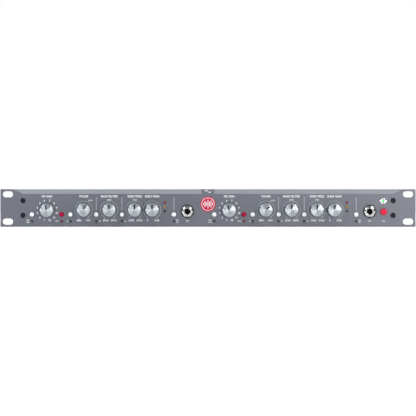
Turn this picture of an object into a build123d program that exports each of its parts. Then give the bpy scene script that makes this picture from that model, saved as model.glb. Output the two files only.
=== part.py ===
from build123d import *
import math
import os

# Two-channel microphone preamp, one rack unit high, for a 19 inch rack.
# Millimetres. The origin is the centre of the rack slot pattern on the front panel's rear face.
# +X is to the right seen from the front, +Y is towards the back, +Z is up. The knobs point to -Y.

# ---------------------------------------------------------------- driving dimensions

panel_width = 482.6
panel_height = 43.7
panel_thickness = 4.0
panel_face = -panel_thickness

slot_spacing_x = 465.1
slot_spacing_z = 31.75
slot_length = 12.0
slot_width = 7.1

bevel_height = 5.4
bevel_depth = 1.6
bevel_top_end = 227.8
bevel_bottom_end = 214.5
centre_tab_width = 14.2
bottom_chamfer = 1.2

sheet = 1.5
chassis_half_width = 219.0
chassis_depth = 210.0
chassis_bottom = -panel_height / 2
chassis_top = panel_height / 2 - 0.5
inner_bottom = chassis_bottom + sheet
inner_top = chassis_top - sheet
flange_width = 9.5
front_flange_thickness = 3.0
rear_inner = chassis_depth - sheet

channel_pitch = 211.8
channels = (1, 2)

gain_knob_x = -187.1
gain_knob_z = -2.6
knob_x = {"output": -144.5, "low_cut": -114.8, "eq_freq": -85.2, "eq_gain": -64.9}
knob_z = -2.1
pointer_angle = {
    "gain": (-15.0, -15.0),
    "output": (28.0, 47.0),
    "low_cut": (0.0, 0.0),
    "eq_freq": (0.0, 0.0),
    "eq_gain": (0.0, 0.0),
}

button_x = (-204.4, -159.8, -129.8, -100.0, -39.6)
phantom_button_x = -170.1
button_z = -7.5
status_led_z = -15.4
meter_x = -50.2
meter_top_z = 6.2
meter_pitch = 4.95

power_button_centre = (204.1, -4.4)
power_led_centre = (203.6, 8.4)
badge_centre = (0.0, 4.5)
badge_radius = 8.85
badge_height = 0.9
badge_edge = 0.3
front_jack_x = (-24.0, -24.0 + channel_pitch)
front_jack_z = -4.0

# panel screws, and the gap around every threaded part
panel_screw_x = 215.0
panel_screw_z = 8.6
panel_screw_head_radius = 3.0
panel_screw_head_height = 2.0
panel_screw_head_edge = 0.6
panel_screw_radius = 1.5
panel_screw_length = 8.5
panel_screw_hole_radius = 1.6
panel_screw_socket_radius = 1.25
panel_screw_socket_depth = 1.2
thread_gap = 0.05

# knob and its shaft
knob_base_radius = 8.2
knob_face_radius = 6.5
knob_gap = 0.8
knob_height = 14.7
knob_rim_height = 2.0
knob_rear = panel_face - knob_gap
knob_front = knob_rear - knob_height
knob_recess_radius = 6.4
knob_recess_depth = 3.2
knob_edge = 0.5
shaft_radius = 3.0
shaft_front = -16.0
shaft_rear = 9.0
shaft_front_gap = 0.2
shaft_rear_gap = 0.5
knob_bore_radius = 3.02
pointer_width = 1.6
pointer_depth = 0.35
pointer_start = 0.6
pointer_end = 5.8

# rotary controls behind the panel
bushing_radius = 3.5
bushing_hole_radius = 3.6
bushing_front = -6.9
bushing_bore_radius = 3.05
control_front = 0.8
control_board_front = 12.0
pot_size = 16.0
pot_corner = 1.5
gain_switch_radius = 11.0
control_nut_flats = 10.0
control_nut_height = 2.0

# push buttons
cap_radius = 2.45
cap_hole_radius = 2.85
cap_front = panel_face - 3.2
power_cap_radius = 3.6
power_cap_hole_radius = 3.95
power_cap_front = panel_face - 4.2
cap_dimple = 0.35
cap_edge = 0.4
collar_front = 0.6
collar_thickness = 0.8
collar_margin = 0.85
stem_radius = 1.5
stem_bore_radius = 1.58
stem_rear = 8.5
switch_front = 4.2
switch_size = 8.0
switch_bore_rear = 11.4

# lamps
led_radius = 1.5
led_hole_radius = 1.6
led_front = panel_face - 0.9
led_rim_radius = 1.9
led_rim_front = 0.2
led_rim_rear = 1.2
led_lead_size = 0.5
led_lead_pitch = 1.27
bezel_radius = 4.2
bezel_height = 1.9
bezel_edge = 0.4
bezel_seat_depth = 0.2
bezel_gap = 0.1
bezel_mouth_radius = 3.1
bezel_sleeve_radius = 2.6
bezel_sleeve_rear = 4.0

# quarter inch jacks
jack_bore_radius = 3.2
jack_bore_length = 33.0
jack_bushing_radius = 4.75
jack_hole_radius = 4.9
jack_block = 14.0
jack_block_corner = 1.0
jack_block_depth = 29.0
jack_nut_flats = 12.6
jack_nut_height = 3.0
jack_washer_radius = 7.85
jack_washer_height = 1.0
jack_mouth_margin = 1.0

# rear connectors
mic_input_x = (-190.0, 5.0)
line_output_x = (-155.0, 40.0)
rear_jack_x = (-125.0, 70.0)
xlr_flange_width = 26.0
xlr_flange_height = 31.0
xlr_flange_thickness = 3.0
xlr_flange_corner = 3.0
xlr_body_radius = 11.9
xlr_body_front = 190.0
xlr_hole_radius = 12.1
xlr_socket_radius = 9.7
xlr_core_radius = 7.7
xlr_shell_radius = 8.1
xlr_floor = 197.0
xlr_pin_circle = 3.9
xlr_pin_radius = 1.2
xlr_pin_tip = 208.0
pin_hole_gap = 0.15
xlr_screw_offset = (9.5, 12.0)
connector_screw_head_radius = 2.5
connector_screw_head_height = 1.4
connector_screw_length = 8.0
latch_width = 7.0
latch_height = 3.0
latch_corner = 0.8
latch_z = 12.4
latch_clearance = 0.4
latch_inner = 211.9
latch_outer = 215.0

inlet_x = 190.0
inlet_body_width = 27.0
inlet_body_height = 33.0
inlet_flange_width = 31.0
inlet_flange_height = 37.0
inlet_flange_thickness = 2.0
inlet_flange_corner = 2.0
inlet_hole_margin = 0.2
inlet_body_front = 186.0
inlet_recess_width = 24.4
inlet_recess_height = 16.4
inlet_recess_z = 5.6
inlet_recess_corner = 4.0
inlet_floor = 197.0
blade_width = 2.0
blade_height = 4.0
blade_length = 10.5
blade_pitch = 14.0
blade_offset = 2.0
drawer_width = 21.4
drawer_height = 7.4
drawer_z = -10.5
drawer_clearance = 0.3
drawer_front = 190.0
drawer_wall = 1.5
drawer_lip = 1.0
drawer_face_gap = 0.3
drawer_face_thickness = 1.7
fuse_radius = 2.5
fuse_length = 17.0
fuse_pitch = 9.0
fuse_lift = 0.4

# boards and power supply
board_thickness = 1.6
board_z = -12.0
control_board_width = 412.0
control_board_height = 36.0
control_board_z = -0.2
jack_opening = jack_block + 1.0
standoff_radius = 2.6
standoff_inset = 6.0
main_board_box = ((-205.0, 40.0), (92.0, 184.0))
power_board_box = ((168.0, 60.0), (208.0, 180.0))
toroid_centre = (130.0, 120.0)
toroid_radius = 33.0
toroid_hole_radius = 12.0
toroid_height = 30.0
toroid_round = 8.0
clamp_radius = 20.0
clamp_thickness = 1.5
clamp_bolt_radius = 3.0
clamp_nut_radius = 5.0
clamp_nut_height = 4.0

channel_board_x = -150.0
filter_capacitor_radius = 7.5
filter_capacitor_height = 24.0
filter_capacitor_x = 188.0
filter_capacitor_y = (84.0, 104.0, 124.0, 150.0)
small_capacitor_radius = 5.0
small_capacitor_height = 16.0
small_capacitor_pitch = (18.0, 26.0)
small_capacitor_count = (4, 3)
small_capacitor_y = 110.0

ribbon_width = 26.0
ribbon_thickness = 1.2
ribbon_z = -6.0
ribbon_end_y = 50.0

# cooling slots in the top cover
vent_slot_length = 26.0
vent_slot_width = 3.0
vent_pitch = 7.0
vent_count = 9
vent_row_pitch = 32.0
vent_centres = (toroid_centre, (-20.0, 120.0))

chassis_screw_y = (15.0, 105.0, 195.0)
chassis_screw_x = 213.6
rear_screw_z = 9.0
screw_shank_radius = 1.4
screw_hole_radius = 1.5
screw_head_radius = 2.7
screw_head_height = 1.3
screw_length = 5.0
countersink_radius = screw_head_radius + 0.1
countersink_depth = 1.4


# ---------------------------------------------------------------- helpers

def facing_front(y):
    """Plane at depth y that faces the front: local x is right, local y is up, extrusion goes to -Y."""
    return Plane.XZ.offset(-y)


def profile_plane(x, z):
    """Plane through an axis that runs front to back at (x, z): local x is the radius, local y is depth."""
    return Plane(origin=(x, 0, z), x_dir=(1, 0, 0), z_dir=(0, 0, 1))


def depth_axis(x, z):
    """Axis that runs front to back at (x, z)."""
    return Axis((x, 0, z), (0, 1, 0))


def in_channel(x, channel):
    """Place of a channel 1 dimension in the given channel."""
    return x + channel_pitch * (channel - 1)


def rectangle_points(low, high):
    """The four corners of an upright rectangle."""
    return [(low[0], low[1]), (high[0], low[1]), (high[0], high[1]), (low[0], high[1])]


def save(piece, name):
    """Label a finished piece and write its STEP file."""
    piece.part.label = name
    export_step(piece.part, f"parts/{name}.step")


def white_button_centres():
    """Centres of the white push buttons with their channel and number."""
    return [
        (channel, number, in_channel(x, channel), button_z)
        for channel in channels
        for number, x in enumerate(button_x, start=1)
    ]


def phantom_button_centres():
    """Centres of the red phantom power buttons with their channel."""
    return [(channel, in_channel(phantom_button_x, channel), button_z) for channel in channels]


def control_centres(control):
    """Centres of one kind of rotary control with its channel and rest pointer angle."""
    x = gain_knob_x if control == "gain" else knob_x[control]
    z = gain_knob_z if control == "gain" else knob_z
    return [
        (channel, in_channel(x, channel), z, pointer_angle[control][channel - 1])
        for channel in channels
    ]


def panel_plane_points(centres):
    """The (x, z) pairs of a list of labelled centres that end in x, z."""
    return [(entry[-2], entry[-1]) for entry in centres]


def pot_points():
    """(x, z) of the eight potentiometers."""
    return [
        (x, z) for control in knob_x for channel, x, z, angle in control_centres(control)
    ]


def gain_points():
    """(x, z) of the two rotary gain switches."""
    return [(x, z) for channel, x, z, angle in control_centres("gain")]


def small_button_points():
    """(x, z) of the twelve small push buttons."""
    return panel_plane_points(white_button_centres()) + panel_plane_points(phantom_button_centres())


def meter_points(row):
    """(x, z) of the meter lamps in one row, counted from the top."""
    return [(in_channel(meter_x, channel), meter_top_z - row * meter_pitch) for channel in channels]


def green_led_points():
    """(x, z) of the green status lamps and the lowest meter lamps."""
    status = [(x, status_led_z) for channel, number, x, z in white_button_centres()]
    return status + meter_points(2)


def red_led_points():
    """(x, z) of the red phantom power lamps and the highest meter lamps."""
    status = [(x, status_led_z) for channel, x, z in phantom_button_centres()]
    return status + meter_points(0)


def front_jack_points():
    """(x, z) of the instrument jacks on the front."""
    return [(x, front_jack_z) for x in front_jack_x]


def rear_jack_points():
    """(x, z) of the line output jacks on the back."""
    return [(x, 0.0) for x in rear_jack_x]


def fixing_points(x):
    """The two diagonal fixing screws of the connector centred at x."""
    return [
        (x - xlr_screw_offset[0], xlr_screw_offset[1]),
        (x + xlr_screw_offset[0], -xlr_screw_offset[1]),
    ]


os.makedirs("parts", exist_ok=True)

# ---------------------------------------------------------------- front panel

bevel_foot = panel_height / 2 - bevel_height

with BuildPart() as bevel_cut:
    with BuildSketch(Plane.YZ):
        with BuildLine():
            Polyline(
                (panel_face, bevel_foot),
                (panel_face + bevel_depth, panel_height / 2),
                (panel_face + bevel_depth, panel_height / 2 + 1),
                (panel_face - 1, panel_height / 2 + 1),
                (panel_face - 1, bevel_foot),
                close=True,
            )
        make_face()
    extrude(amount=panel_width / 2, both=True)
    with BuildSketch(facing_front(0)):
        for side in (-1, 1):
            with BuildLine():
                Polyline(
                    (side * bevel_bottom_end, bevel_foot),
                    (side * bevel_top_end, panel_height / 2),
                    (side * bevel_top_end, panel_height / 2 + 1),
                    (side * centre_tab_width / 2, panel_height / 2 + 1),
                    (side * centre_tab_width / 2, bevel_foot),
                    close=True,
                )
            make_face()
    extrude(amount=panel_thickness + 1, mode=Mode.INTERSECT)

with BuildPart() as front_panel:
    with BuildSketch(facing_front(0)):
        Rectangle(panel_width, panel_height)
    extrude(amount=panel_thickness)
    lower_front_edge = front_panel.edges().filter_by(Axis.X).group_by(Axis.Z)[0].sort_by(Axis.Y)[0]
    chamfer(lower_front_edge, length=bottom_chamfer)
    add(bevel_cut.part, mode=Mode.SUBTRACT)
    with BuildSketch(facing_front(0)):
        with GridLocations(slot_spacing_x, slot_spacing_z, 2, 2):
            SlotOverall(slot_length, slot_width)
        with GridLocations(2 * panel_screw_x, 2 * panel_screw_z, 2, 2):
            Circle(panel_screw_hole_radius)
        with Locations(*pot_points(), *gain_points()):
            Circle(bushing_hole_radius)
        with Locations(*small_button_points()):
            Circle(cap_hole_radius)
        with Locations(power_button_centre):
            Circle(power_cap_hole_radius)
        with Locations(*green_led_points(), *red_led_points(), *meter_points(1)):
            Circle(led_hole_radius)
        with Locations(power_led_centre):
            Circle(bezel_sleeve_radius + bezel_gap)
        with Locations(*front_jack_points()):
            Circle(jack_hole_radius)
    extrude(amount=panel_thickness, mode=Mode.SUBTRACT)

save(front_panel, "front_panel")

with BuildPart() as panel_screws:
    with BuildSketch(facing_front(panel_face)):
        with GridLocations(2 * panel_screw_x, 2 * panel_screw_z, 2, 2):
            Circle(panel_screw_head_radius)
    extrude(amount=panel_screw_head_height)
    chamfer(panel_screws.edges().group_by(Axis.Y)[0], length=panel_screw_head_edge)
    with BuildSketch(facing_front(panel_face)):
        with GridLocations(2 * panel_screw_x, 2 * panel_screw_z, 2, 2):
            Circle(panel_screw_radius)
    extrude(amount=-panel_screw_length)
    with BuildSketch(facing_front(panel_face - panel_screw_head_height)):
        with GridLocations(2 * panel_screw_x, 2 * panel_screw_z, 2, 2):
            RegularPolygon(radius=panel_screw_socket_radius, side_count=6)
    extrude(amount=-panel_screw_socket_depth, mode=Mode.SUBTRACT)

save(panel_screws, "panel_screws")

with BuildPart() as front_badge:
    with BuildSketch(facing_front(panel_face)):
        with Locations(badge_centre):
            Circle(badge_radius)
    extrude(amount=badge_height)
    chamfer(front_badge.edges().group_by(Axis.Y)[0], length=badge_edge)

save(front_badge, "front_badge")


# ---------------------------------------------------------------- chassis

def screw_hole_positions():
    """(x, y) of the screws that hold the cover and the bottom plate."""
    return [(side * chassis_screw_x, y) for side in (-1, 1) for y in chassis_screw_y]


def countersunk_plate(name, plane, inward, vents=()):
    """Flat cover or bottom plate on its outer plane; inward is the extrusion sign to the inside."""
    with BuildPart() as plate:
        with BuildSketch(plane):
            with Locations((0, chassis_depth / 2)):
                Rectangle(2 * chassis_half_width, chassis_depth)
            with Locations(*screw_hole_positions()):
                Circle(screw_hole_radius, mode=Mode.SUBTRACT)
            for centre in vents:
                with Locations(centre):
                    with GridLocations(vent_pitch, vent_row_pitch, vent_count, 2):
                        SlotOverall(vent_slot_length, vent_slot_width, rotation=90, mode=Mode.SUBTRACT)
        extrude(amount=inward * sheet)
        with Locations(*[(x, y, plane.origin.Z) for x, y in screw_hole_positions()]):
            if inward > 0:
                Cone(
                    bottom_radius=countersink_radius,
                    top_radius=screw_hole_radius,
                    height=countersink_depth,
                    align=(Align.CENTER, Align.CENTER, Align.MIN),
                    mode=Mode.SUBTRACT,
                )
            else:
                Cone(
                    bottom_radius=screw_hole_radius,
                    top_radius=countersink_radius,
                    height=countersink_depth,
                    align=(Align.CENTER, Align.CENTER, Align.MAX),
                    mode=Mode.SUBTRACT,
                )
    save(plate, name)


countersunk_plate("bottom_plate", Plane.XY.offset(chassis_bottom), inward=1)
countersunk_plate("top_cover", Plane.XY.offset(chassis_top), inward=-1, vents=vent_centres)


def side_plate(side):
    """Folded side plate with flanges for the cover, the bottom, the front panel and the rear panel."""
    web_x = side * (chassis_half_width - sheet / 2)
    flange_x = side * (chassis_half_width - flange_width / 2)
    with BuildPart() as plate:
        with BuildSketch(facing_front(rear_inner)):
            with Locations((web_x, (inner_bottom + inner_top) / 2)):
                Rectangle(sheet, inner_top - inner_bottom)
            with Locations(
                (flange_x, inner_bottom + sheet / 2),
                (flange_x, inner_top - sheet / 2),
            ):
                Rectangle(flange_width, sheet)
        extrude(amount=rear_inner)
        with BuildSketch(facing_front(front_flange_thickness)):
            with Locations((flange_x, (inner_bottom + inner_top) / 2)):
                Rectangle(flange_width, inner_top - inner_bottom)
        extrude(amount=front_flange_thickness)
        with BuildSketch(facing_front(rear_inner)):
            with Locations((flange_x, (inner_bottom + inner_top) / 2)):
                Rectangle(flange_width, inner_top - inner_bottom)
        extrude(amount=sheet)
        with BuildSketch(facing_front(front_flange_thickness)):
            with Locations((side * panel_screw_x, panel_screw_z), (side * panel_screw_x, -panel_screw_z)):
                Circle(panel_screw_radius + thread_gap)
        extrude(amount=front_flange_thickness, mode=Mode.SUBTRACT)
        with BuildSketch(facing_front(rear_inner)):
            with Locations((side * chassis_screw_x, rear_screw_z), (side * chassis_screw_x, -rear_screw_z)):
                Circle(screw_shank_radius + thread_gap)
        extrude(amount=sheet, mode=Mode.SUBTRACT)
        with BuildSketch(Plane.XY.offset(inner_bottom)):
            with Locations(*[(side * chassis_screw_x, y) for y in chassis_screw_y]):
                Circle(screw_shank_radius + thread_gap)
        extrude(amount=inner_top - inner_bottom, mode=Mode.SUBTRACT)
    return plate


save(side_plate(-1), "left_side")
save(side_plate(1), "right_side")

with BuildPart() as rear_panel:
    with BuildSketch(facing_front(chassis_depth)):
        with Locations((0, (inner_bottom + inner_top) / 2)):
            Rectangle(2 * chassis_half_width, inner_top - inner_bottom)
    extrude(amount=sheet)
    with BuildSketch(facing_front(chassis_depth)):
        with Locations(*[(x, 0) for x in mic_input_x + line_output_x]):
            Circle(xlr_hole_radius)
        with Locations(*[point for x in mic_input_x + line_output_x for point in fixing_points(x)]):
            Circle(screw_hole_radius)
        with Locations(*rear_jack_points()):
            Circle(jack_hole_radius)
        with Locations((inlet_x, 0)):
            Rectangle(
                inlet_body_width + 2 * inlet_hole_margin,
                inlet_body_height + 2 * inlet_hole_margin,
            )
        with Locations(*[(sx * chassis_screw_x, sz * rear_screw_z) for sx in (-1, 1) for sz in (-1, 1)]):
            Circle(screw_hole_radius)
    extrude(amount=sheet, mode=Mode.SUBTRACT)
    for x in (-chassis_screw_x, chassis_screw_x):
        for z in (-rear_screw_z, rear_screw_z):
            with Locations(Location((x, chassis_depth, z), (90, 0, 0))):
                Cone(
                    bottom_radius=countersink_radius,
                    top_radius=screw_hole_radius,
                    height=countersink_depth,
                    align=(Align.CENTER, Align.CENTER, Align.MIN),
                    mode=Mode.SUBTRACT,
                )

save(rear_panel, "rear_panel")


def chassis_screw_seats():
    """Seats of the countersunk screws: local +Z points out of the sheet."""
    plates = [Location((x, y, chassis_top)) for x, y in screw_hole_positions()]
    plates += [Location((x, y, chassis_bottom), (180, 0, 0)) for x, y in screw_hole_positions()]
    back = [
        Location((side_x * chassis_screw_x, chassis_depth, side_z * rear_screw_z), (-90, 0, 0))
        for side_x in (-1, 1)
        for side_z in (-1, 1)
    ]
    return plates + back


with BuildPart() as chassis_screws:
    with Locations(*chassis_screw_seats()):
        Cone(
            bottom_radius=screw_shank_radius,
            top_radius=screw_head_radius,
            height=screw_head_height,
            align=(Align.CENTER, Align.CENTER, Align.MAX),
        )
        Cylinder(screw_shank_radius, screw_length, align=(Align.CENTER, Align.CENTER, Align.MAX))

save(chassis_screws, "chassis_screws")


# ---------------------------------------------------------------- knobs and rotary controls

def knob(name, x, z, angle):
    """Turned knob on its own control shaft, with the pointer groove at the given clock angle."""
    with BuildPart() as turned:
        with BuildSketch(profile_plane(x, z)):
            with BuildLine():
                Polyline(
                    (0, knob_front),
                    (knob_face_radius - knob_edge, knob_front),
                    (knob_face_radius, knob_front + knob_edge),
                    (knob_base_radius, knob_rear - knob_rim_height),
                    (knob_base_radius, knob_rear),
                    (knob_recess_radius, knob_rear),
                    (knob_recess_radius, knob_rear - knob_recess_depth),
                    (knob_bore_radius, knob_rear - knob_recess_depth),
                    (knob_bore_radius, shaft_front - shaft_front_gap),
                    (0, shaft_front - shaft_front_gap),
                    close=True,
                )
            make_face()
        revolve(axis=depth_axis(x, z))
        with BuildSketch(facing_front(knob_front)):
            with Locations((x, z)):
                with PolarLocations((pointer_start + pointer_end) / 2, 1, start_angle=90 - angle):
                    Rectangle(pointer_end - pointer_start, pointer_width)
        extrude(amount=-pointer_depth, mode=Mode.SUBTRACT)
        with BuildSketch(facing_front(shaft_front)):
            with Locations((x, z)):
                Circle(shaft_radius)
        extrude(amount=shaft_front - shaft_rear)
    save(turned, name)


for control in ("gain", *knob_x):
    for channel, x, z, angle in control_centres(control):
        knob(f"{control}_knob_{channel}", x, z, angle)


def rotary_controls(name, points, round_body):
    """Control bodies in front of the control board, each with a bored bushing through the panel."""
    bore_end = shaft_rear + shaft_rear_gap
    with BuildPart() as controls:
        with BuildSketch(facing_front(control_board_front)):
            with Locations(*points):
                if round_body:
                    Circle(gain_switch_radius)
                else:
                    RectangleRounded(pot_size, pot_size, pot_corner)
        extrude(amount=control_board_front - control_front)
        with BuildSketch(facing_front(control_front)):
            with Locations(*points):
                Circle(bushing_radius)
        extrude(amount=control_front - bushing_front)
        with BuildSketch(facing_front(bore_end)):
            with Locations(*points):
                Circle(bushing_bore_radius)
        extrude(amount=bore_end - bushing_front, mode=Mode.SUBTRACT)
    save(controls, name)


rotary_controls("potentiometers", pot_points(), round_body=False)
rotary_controls("gain_switches", gain_points(), round_body=True)

with BuildPart() as control_nuts:
    with BuildSketch(facing_front(panel_face)):
        with Locations(*pot_points(), *gain_points()):
            RegularPolygon(radius=control_nut_flats / 2, side_count=6, major_radius=False)
            Circle(bushing_radius + thread_gap, mode=Mode.SUBTRACT)
    extrude(amount=control_nut_height)

save(control_nuts, "control_nuts")


# ---------------------------------------------------------------- push buttons

def push_button(name, x, z, radius, front):
    """Push button: dished cap, retaining collar behind the panel, and the stem into its switch."""
    collar_radius = radius + collar_margin
    with BuildPart() as button:
        with BuildSketch(profile_plane(x, z)):
            with BuildLine():
                ThreePointArc(
                    (0, front + cap_dimple),
                    ((radius - cap_edge) / 2, front + cap_dimple * 0.75),
                    (radius - cap_edge, front),
                )
                Polyline(
                    (radius - cap_edge, front),
                    (radius, front + cap_edge),
                    (radius, collar_front),
                    (collar_radius, collar_front),
                    (collar_radius, collar_front + collar_thickness),
                    (stem_radius, collar_front + collar_thickness),
                    (stem_radius, stem_rear),
                    (0, stem_rear),
                    (0, front + cap_dimple),
                )
            make_face()
        revolve(axis=depth_axis(x, z))
    save(button, name)


for channel, number, x, z in white_button_centres():
    push_button(f"white_button_{channel}_{number}", x, z, cap_radius, cap_front)
for channel, x, z in phantom_button_centres():
    push_button(f"phantom_button_{channel}", x, z, cap_radius, cap_front)
push_button("power_button", *power_button_centre, power_cap_radius, power_cap_front)

with BuildPart() as push_switches:
    with BuildSketch(facing_front(control_board_front)):
        with Locations(*small_button_points(), power_button_centre):
            Rectangle(switch_size, switch_size)
    extrude(amount=control_board_front - switch_front)
    with BuildSketch(facing_front(switch_bore_rear)):
        with Locations(*small_button_points(), power_button_centre):
            Circle(stem_bore_radius)
    extrude(amount=switch_bore_rear - switch_front, mode=Mode.SUBTRACT)

save(push_switches, "push_switches")


# ---------------------------------------------------------------- lamps

def lamps(name, points):
    """Three millimetre lamps with their rims and two leads each, back to the control board."""
    with BuildPart() as group:
        for x, z in points:
            with BuildSketch(profile_plane(x, z)):
                with BuildLine():
                    CenterArc((0, led_front + led_radius), led_radius, start_angle=270, arc_size=90)
                    Polyline(
                        (led_radius, led_front + led_radius),
                        (led_radius, led_rim_front),
                        (led_rim_radius, led_rim_front),
                        (led_rim_radius, led_rim_rear),
                        (0, led_rim_rear),
                        (0, led_front),
                    )
                make_face()
            revolve(axis=depth_axis(x, z))
        with BuildSketch(facing_front(control_board_front)):
            for x, z in points:
                with Locations((x - led_lead_pitch, z), (x + led_lead_pitch, z)):
                    Rectangle(led_lead_size, led_lead_size)
        extrude(amount=control_board_front - led_rim_rear)
    save(group, name)


lamps("green_leds", green_led_points())
lamps("red_leds", red_led_points())
lamps("amber_leds", meter_points(1))
lamps("power_led", [power_led_centre])

with BuildPart() as power_led_bezel:
    with BuildSketch(profile_plane(*power_led_centre)):
        with BuildLine():
            Polyline(
                (led_hole_radius, panel_face - bezel_seat_depth),
                (bezel_mouth_radius, panel_face - bezel_height),
                (bezel_radius - bezel_edge, panel_face - bezel_height),
                (bezel_radius, panel_face - bezel_height + bezel_edge),
                (bezel_radius, panel_face),
                (bezel_sleeve_radius, panel_face),
                (bezel_sleeve_radius, bezel_sleeve_rear),
                (led_rim_radius + bezel_gap, bezel_sleeve_rear),
                (led_rim_radius + bezel_gap, led_rim_front - bezel_gap),
                (led_hole_radius, led_rim_front - bezel_gap),
                close=True,
            )
        make_face()
    revolve(axis=depth_axis(*power_led_centre))

save(power_led_bezel, "power_led_bezel")


# ---------------------------------------------------------------- quarter inch jacks

def jacks(name, points, inner_face, mouth):
    """Jack sockets: a block behind the panel and a bored bushing through it to the mouth."""
    inward = 1 if inner_face > mouth else -1
    with BuildPart() as sockets:
        with BuildSketch(facing_front(inner_face)):
            with Locations(*points):
                RectangleRounded(jack_block, jack_block, jack_block_corner)
        extrude(amount=-inward * jack_block_depth)
        with BuildSketch(facing_front(inner_face)):
            with Locations(*points):
                Circle(jack_bushing_radius)
        extrude(amount=inner_face - mouth)
        with BuildSketch(facing_front(mouth)):
            with Locations(*points):
                Circle(jack_bore_radius)
        extrude(amount=-inward * jack_bore_length, mode=Mode.SUBTRACT)
    save(sockets, name)


front_jack_mouth = panel_face - jack_washer_height - jack_nut_height - jack_mouth_margin
rear_jack_mouth = chassis_depth + jack_nut_height + jack_mouth_margin
jacks("front_jacks", front_jack_points(), 0.0, front_jack_mouth)
jacks("rear_jacks", rear_jack_points(), rear_inner, rear_jack_mouth)


jack_nut_seats = (
    (front_jack_points(), panel_face - jack_washer_height),
    (rear_jack_points(), chassis_depth + jack_nut_height),
)

with BuildPart() as jack_nuts:
    for points, seat in jack_nut_seats:
        with BuildSketch(facing_front(seat)):
            with Locations(*points):
                RegularPolygon(radius=jack_nut_flats / 2, side_count=6, major_radius=False)
                Circle(jack_bushing_radius + thread_gap, mode=Mode.SUBTRACT)
        extrude(amount=jack_nut_height)

save(jack_nuts, "jack_nuts")

with BuildPart() as front_jack_washers:
    with BuildSketch(facing_front(panel_face)):
        with Locations(*front_jack_points()):
            Circle(jack_washer_radius)
            Circle(jack_bushing_radius + thread_gap, mode=Mode.SUBTRACT)
    extrude(amount=jack_washer_height)

save(front_jack_washers, "front_jack_washers")


# ---------------------------------------------------------------- rear connectors

def pin_points(x):
    """Three contacts on their circle around (x, 0), the single one at the bottom."""
    return [
        (
            x + xlr_pin_circle * math.cos(math.radians(turn)),
            xlr_pin_circle * math.sin(math.radians(turn)),
        )
        for turn in (30, 150, 270)
    ]


socket_mouth = chassis_depth + xlr_flange_thickness


def balanced_connectors(name, centres, female):
    """Three-pole balanced connectors: flange on the rear panel, round body behind it."""
    with BuildPart() as connectors:
        for x in centres:
            with BuildSketch(facing_front(socket_mouth)):
                with Locations((x, 0)):
                    RectangleRounded(xlr_flange_width, xlr_flange_height, xlr_flange_corner)
                with Locations(*fixing_points(x)):
                    Circle(screw_hole_radius, mode=Mode.SUBTRACT)
            extrude(amount=xlr_flange_thickness)
            with BuildSketch(facing_front(chassis_depth)):
                with Locations((x, 0)):
                    Circle(xlr_body_radius)
            extrude(amount=chassis_depth - xlr_body_front)
            with BuildSketch(facing_front(xlr_floor)):
                with Locations((x, 0)):
                    if female:
                        Circle(xlr_socket_radius)
                        Circle(xlr_core_radius, mode=Mode.SUBTRACT)
                        with Locations(*[(px - x, pz) for px, pz in pin_points(x)]):
                            Circle(xlr_pin_radius + pin_hole_gap)
                    else:
                        Circle(xlr_shell_radius)
            extrude(amount=xlr_floor - socket_mouth, mode=Mode.SUBTRACT)
            if female:
                with BuildSketch(facing_front(chassis_depth)):
                    with Locations((x, latch_z)):
                        Rectangle(latch_width + 2 * latch_clearance, latch_height + 2 * latch_clearance)
                extrude(amount=-xlr_flange_thickness, mode=Mode.SUBTRACT)
            else:
                with BuildSketch(facing_front(xlr_floor)):
                    with Locations(*pin_points(x)):
                        Circle(xlr_pin_radius)
                extrude(amount=xlr_floor - xlr_pin_tip)
    save(connectors, name)


balanced_connectors("mic_input_sockets", mic_input_x, female=True)
balanced_connectors("line_output_plugs", line_output_x, female=False)

for channel, x in zip(channels, mic_input_x):
    with BuildPart() as latch:
        with BuildSketch(facing_front(latch_outer)):
            with Locations((x, latch_z)):
                RectangleRounded(latch_width, latch_height, latch_corner)
        extrude(amount=latch_outer - latch_inner)
    save(latch, f"mic_input_latch_{channel}")

with BuildPart() as connector_screws:
    for x in mic_input_x + line_output_x:
        with Locations(*[Location((px, socket_mouth, pz), (-90, 0, 0)) for px, pz in fixing_points(x)]):
            Cylinder(
                connector_screw_head_radius,
                connector_screw_head_height,
                align=(Align.CENTER, Align.CENTER, Align.MIN),
            )
            Cylinder(
                screw_shank_radius,
                connector_screw_length,
                align=(Align.CENTER, Align.CENTER, Align.MAX),
            )

save(connector_screws, "connector_screws")

inlet_face = chassis_depth + inlet_flange_thickness

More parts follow.
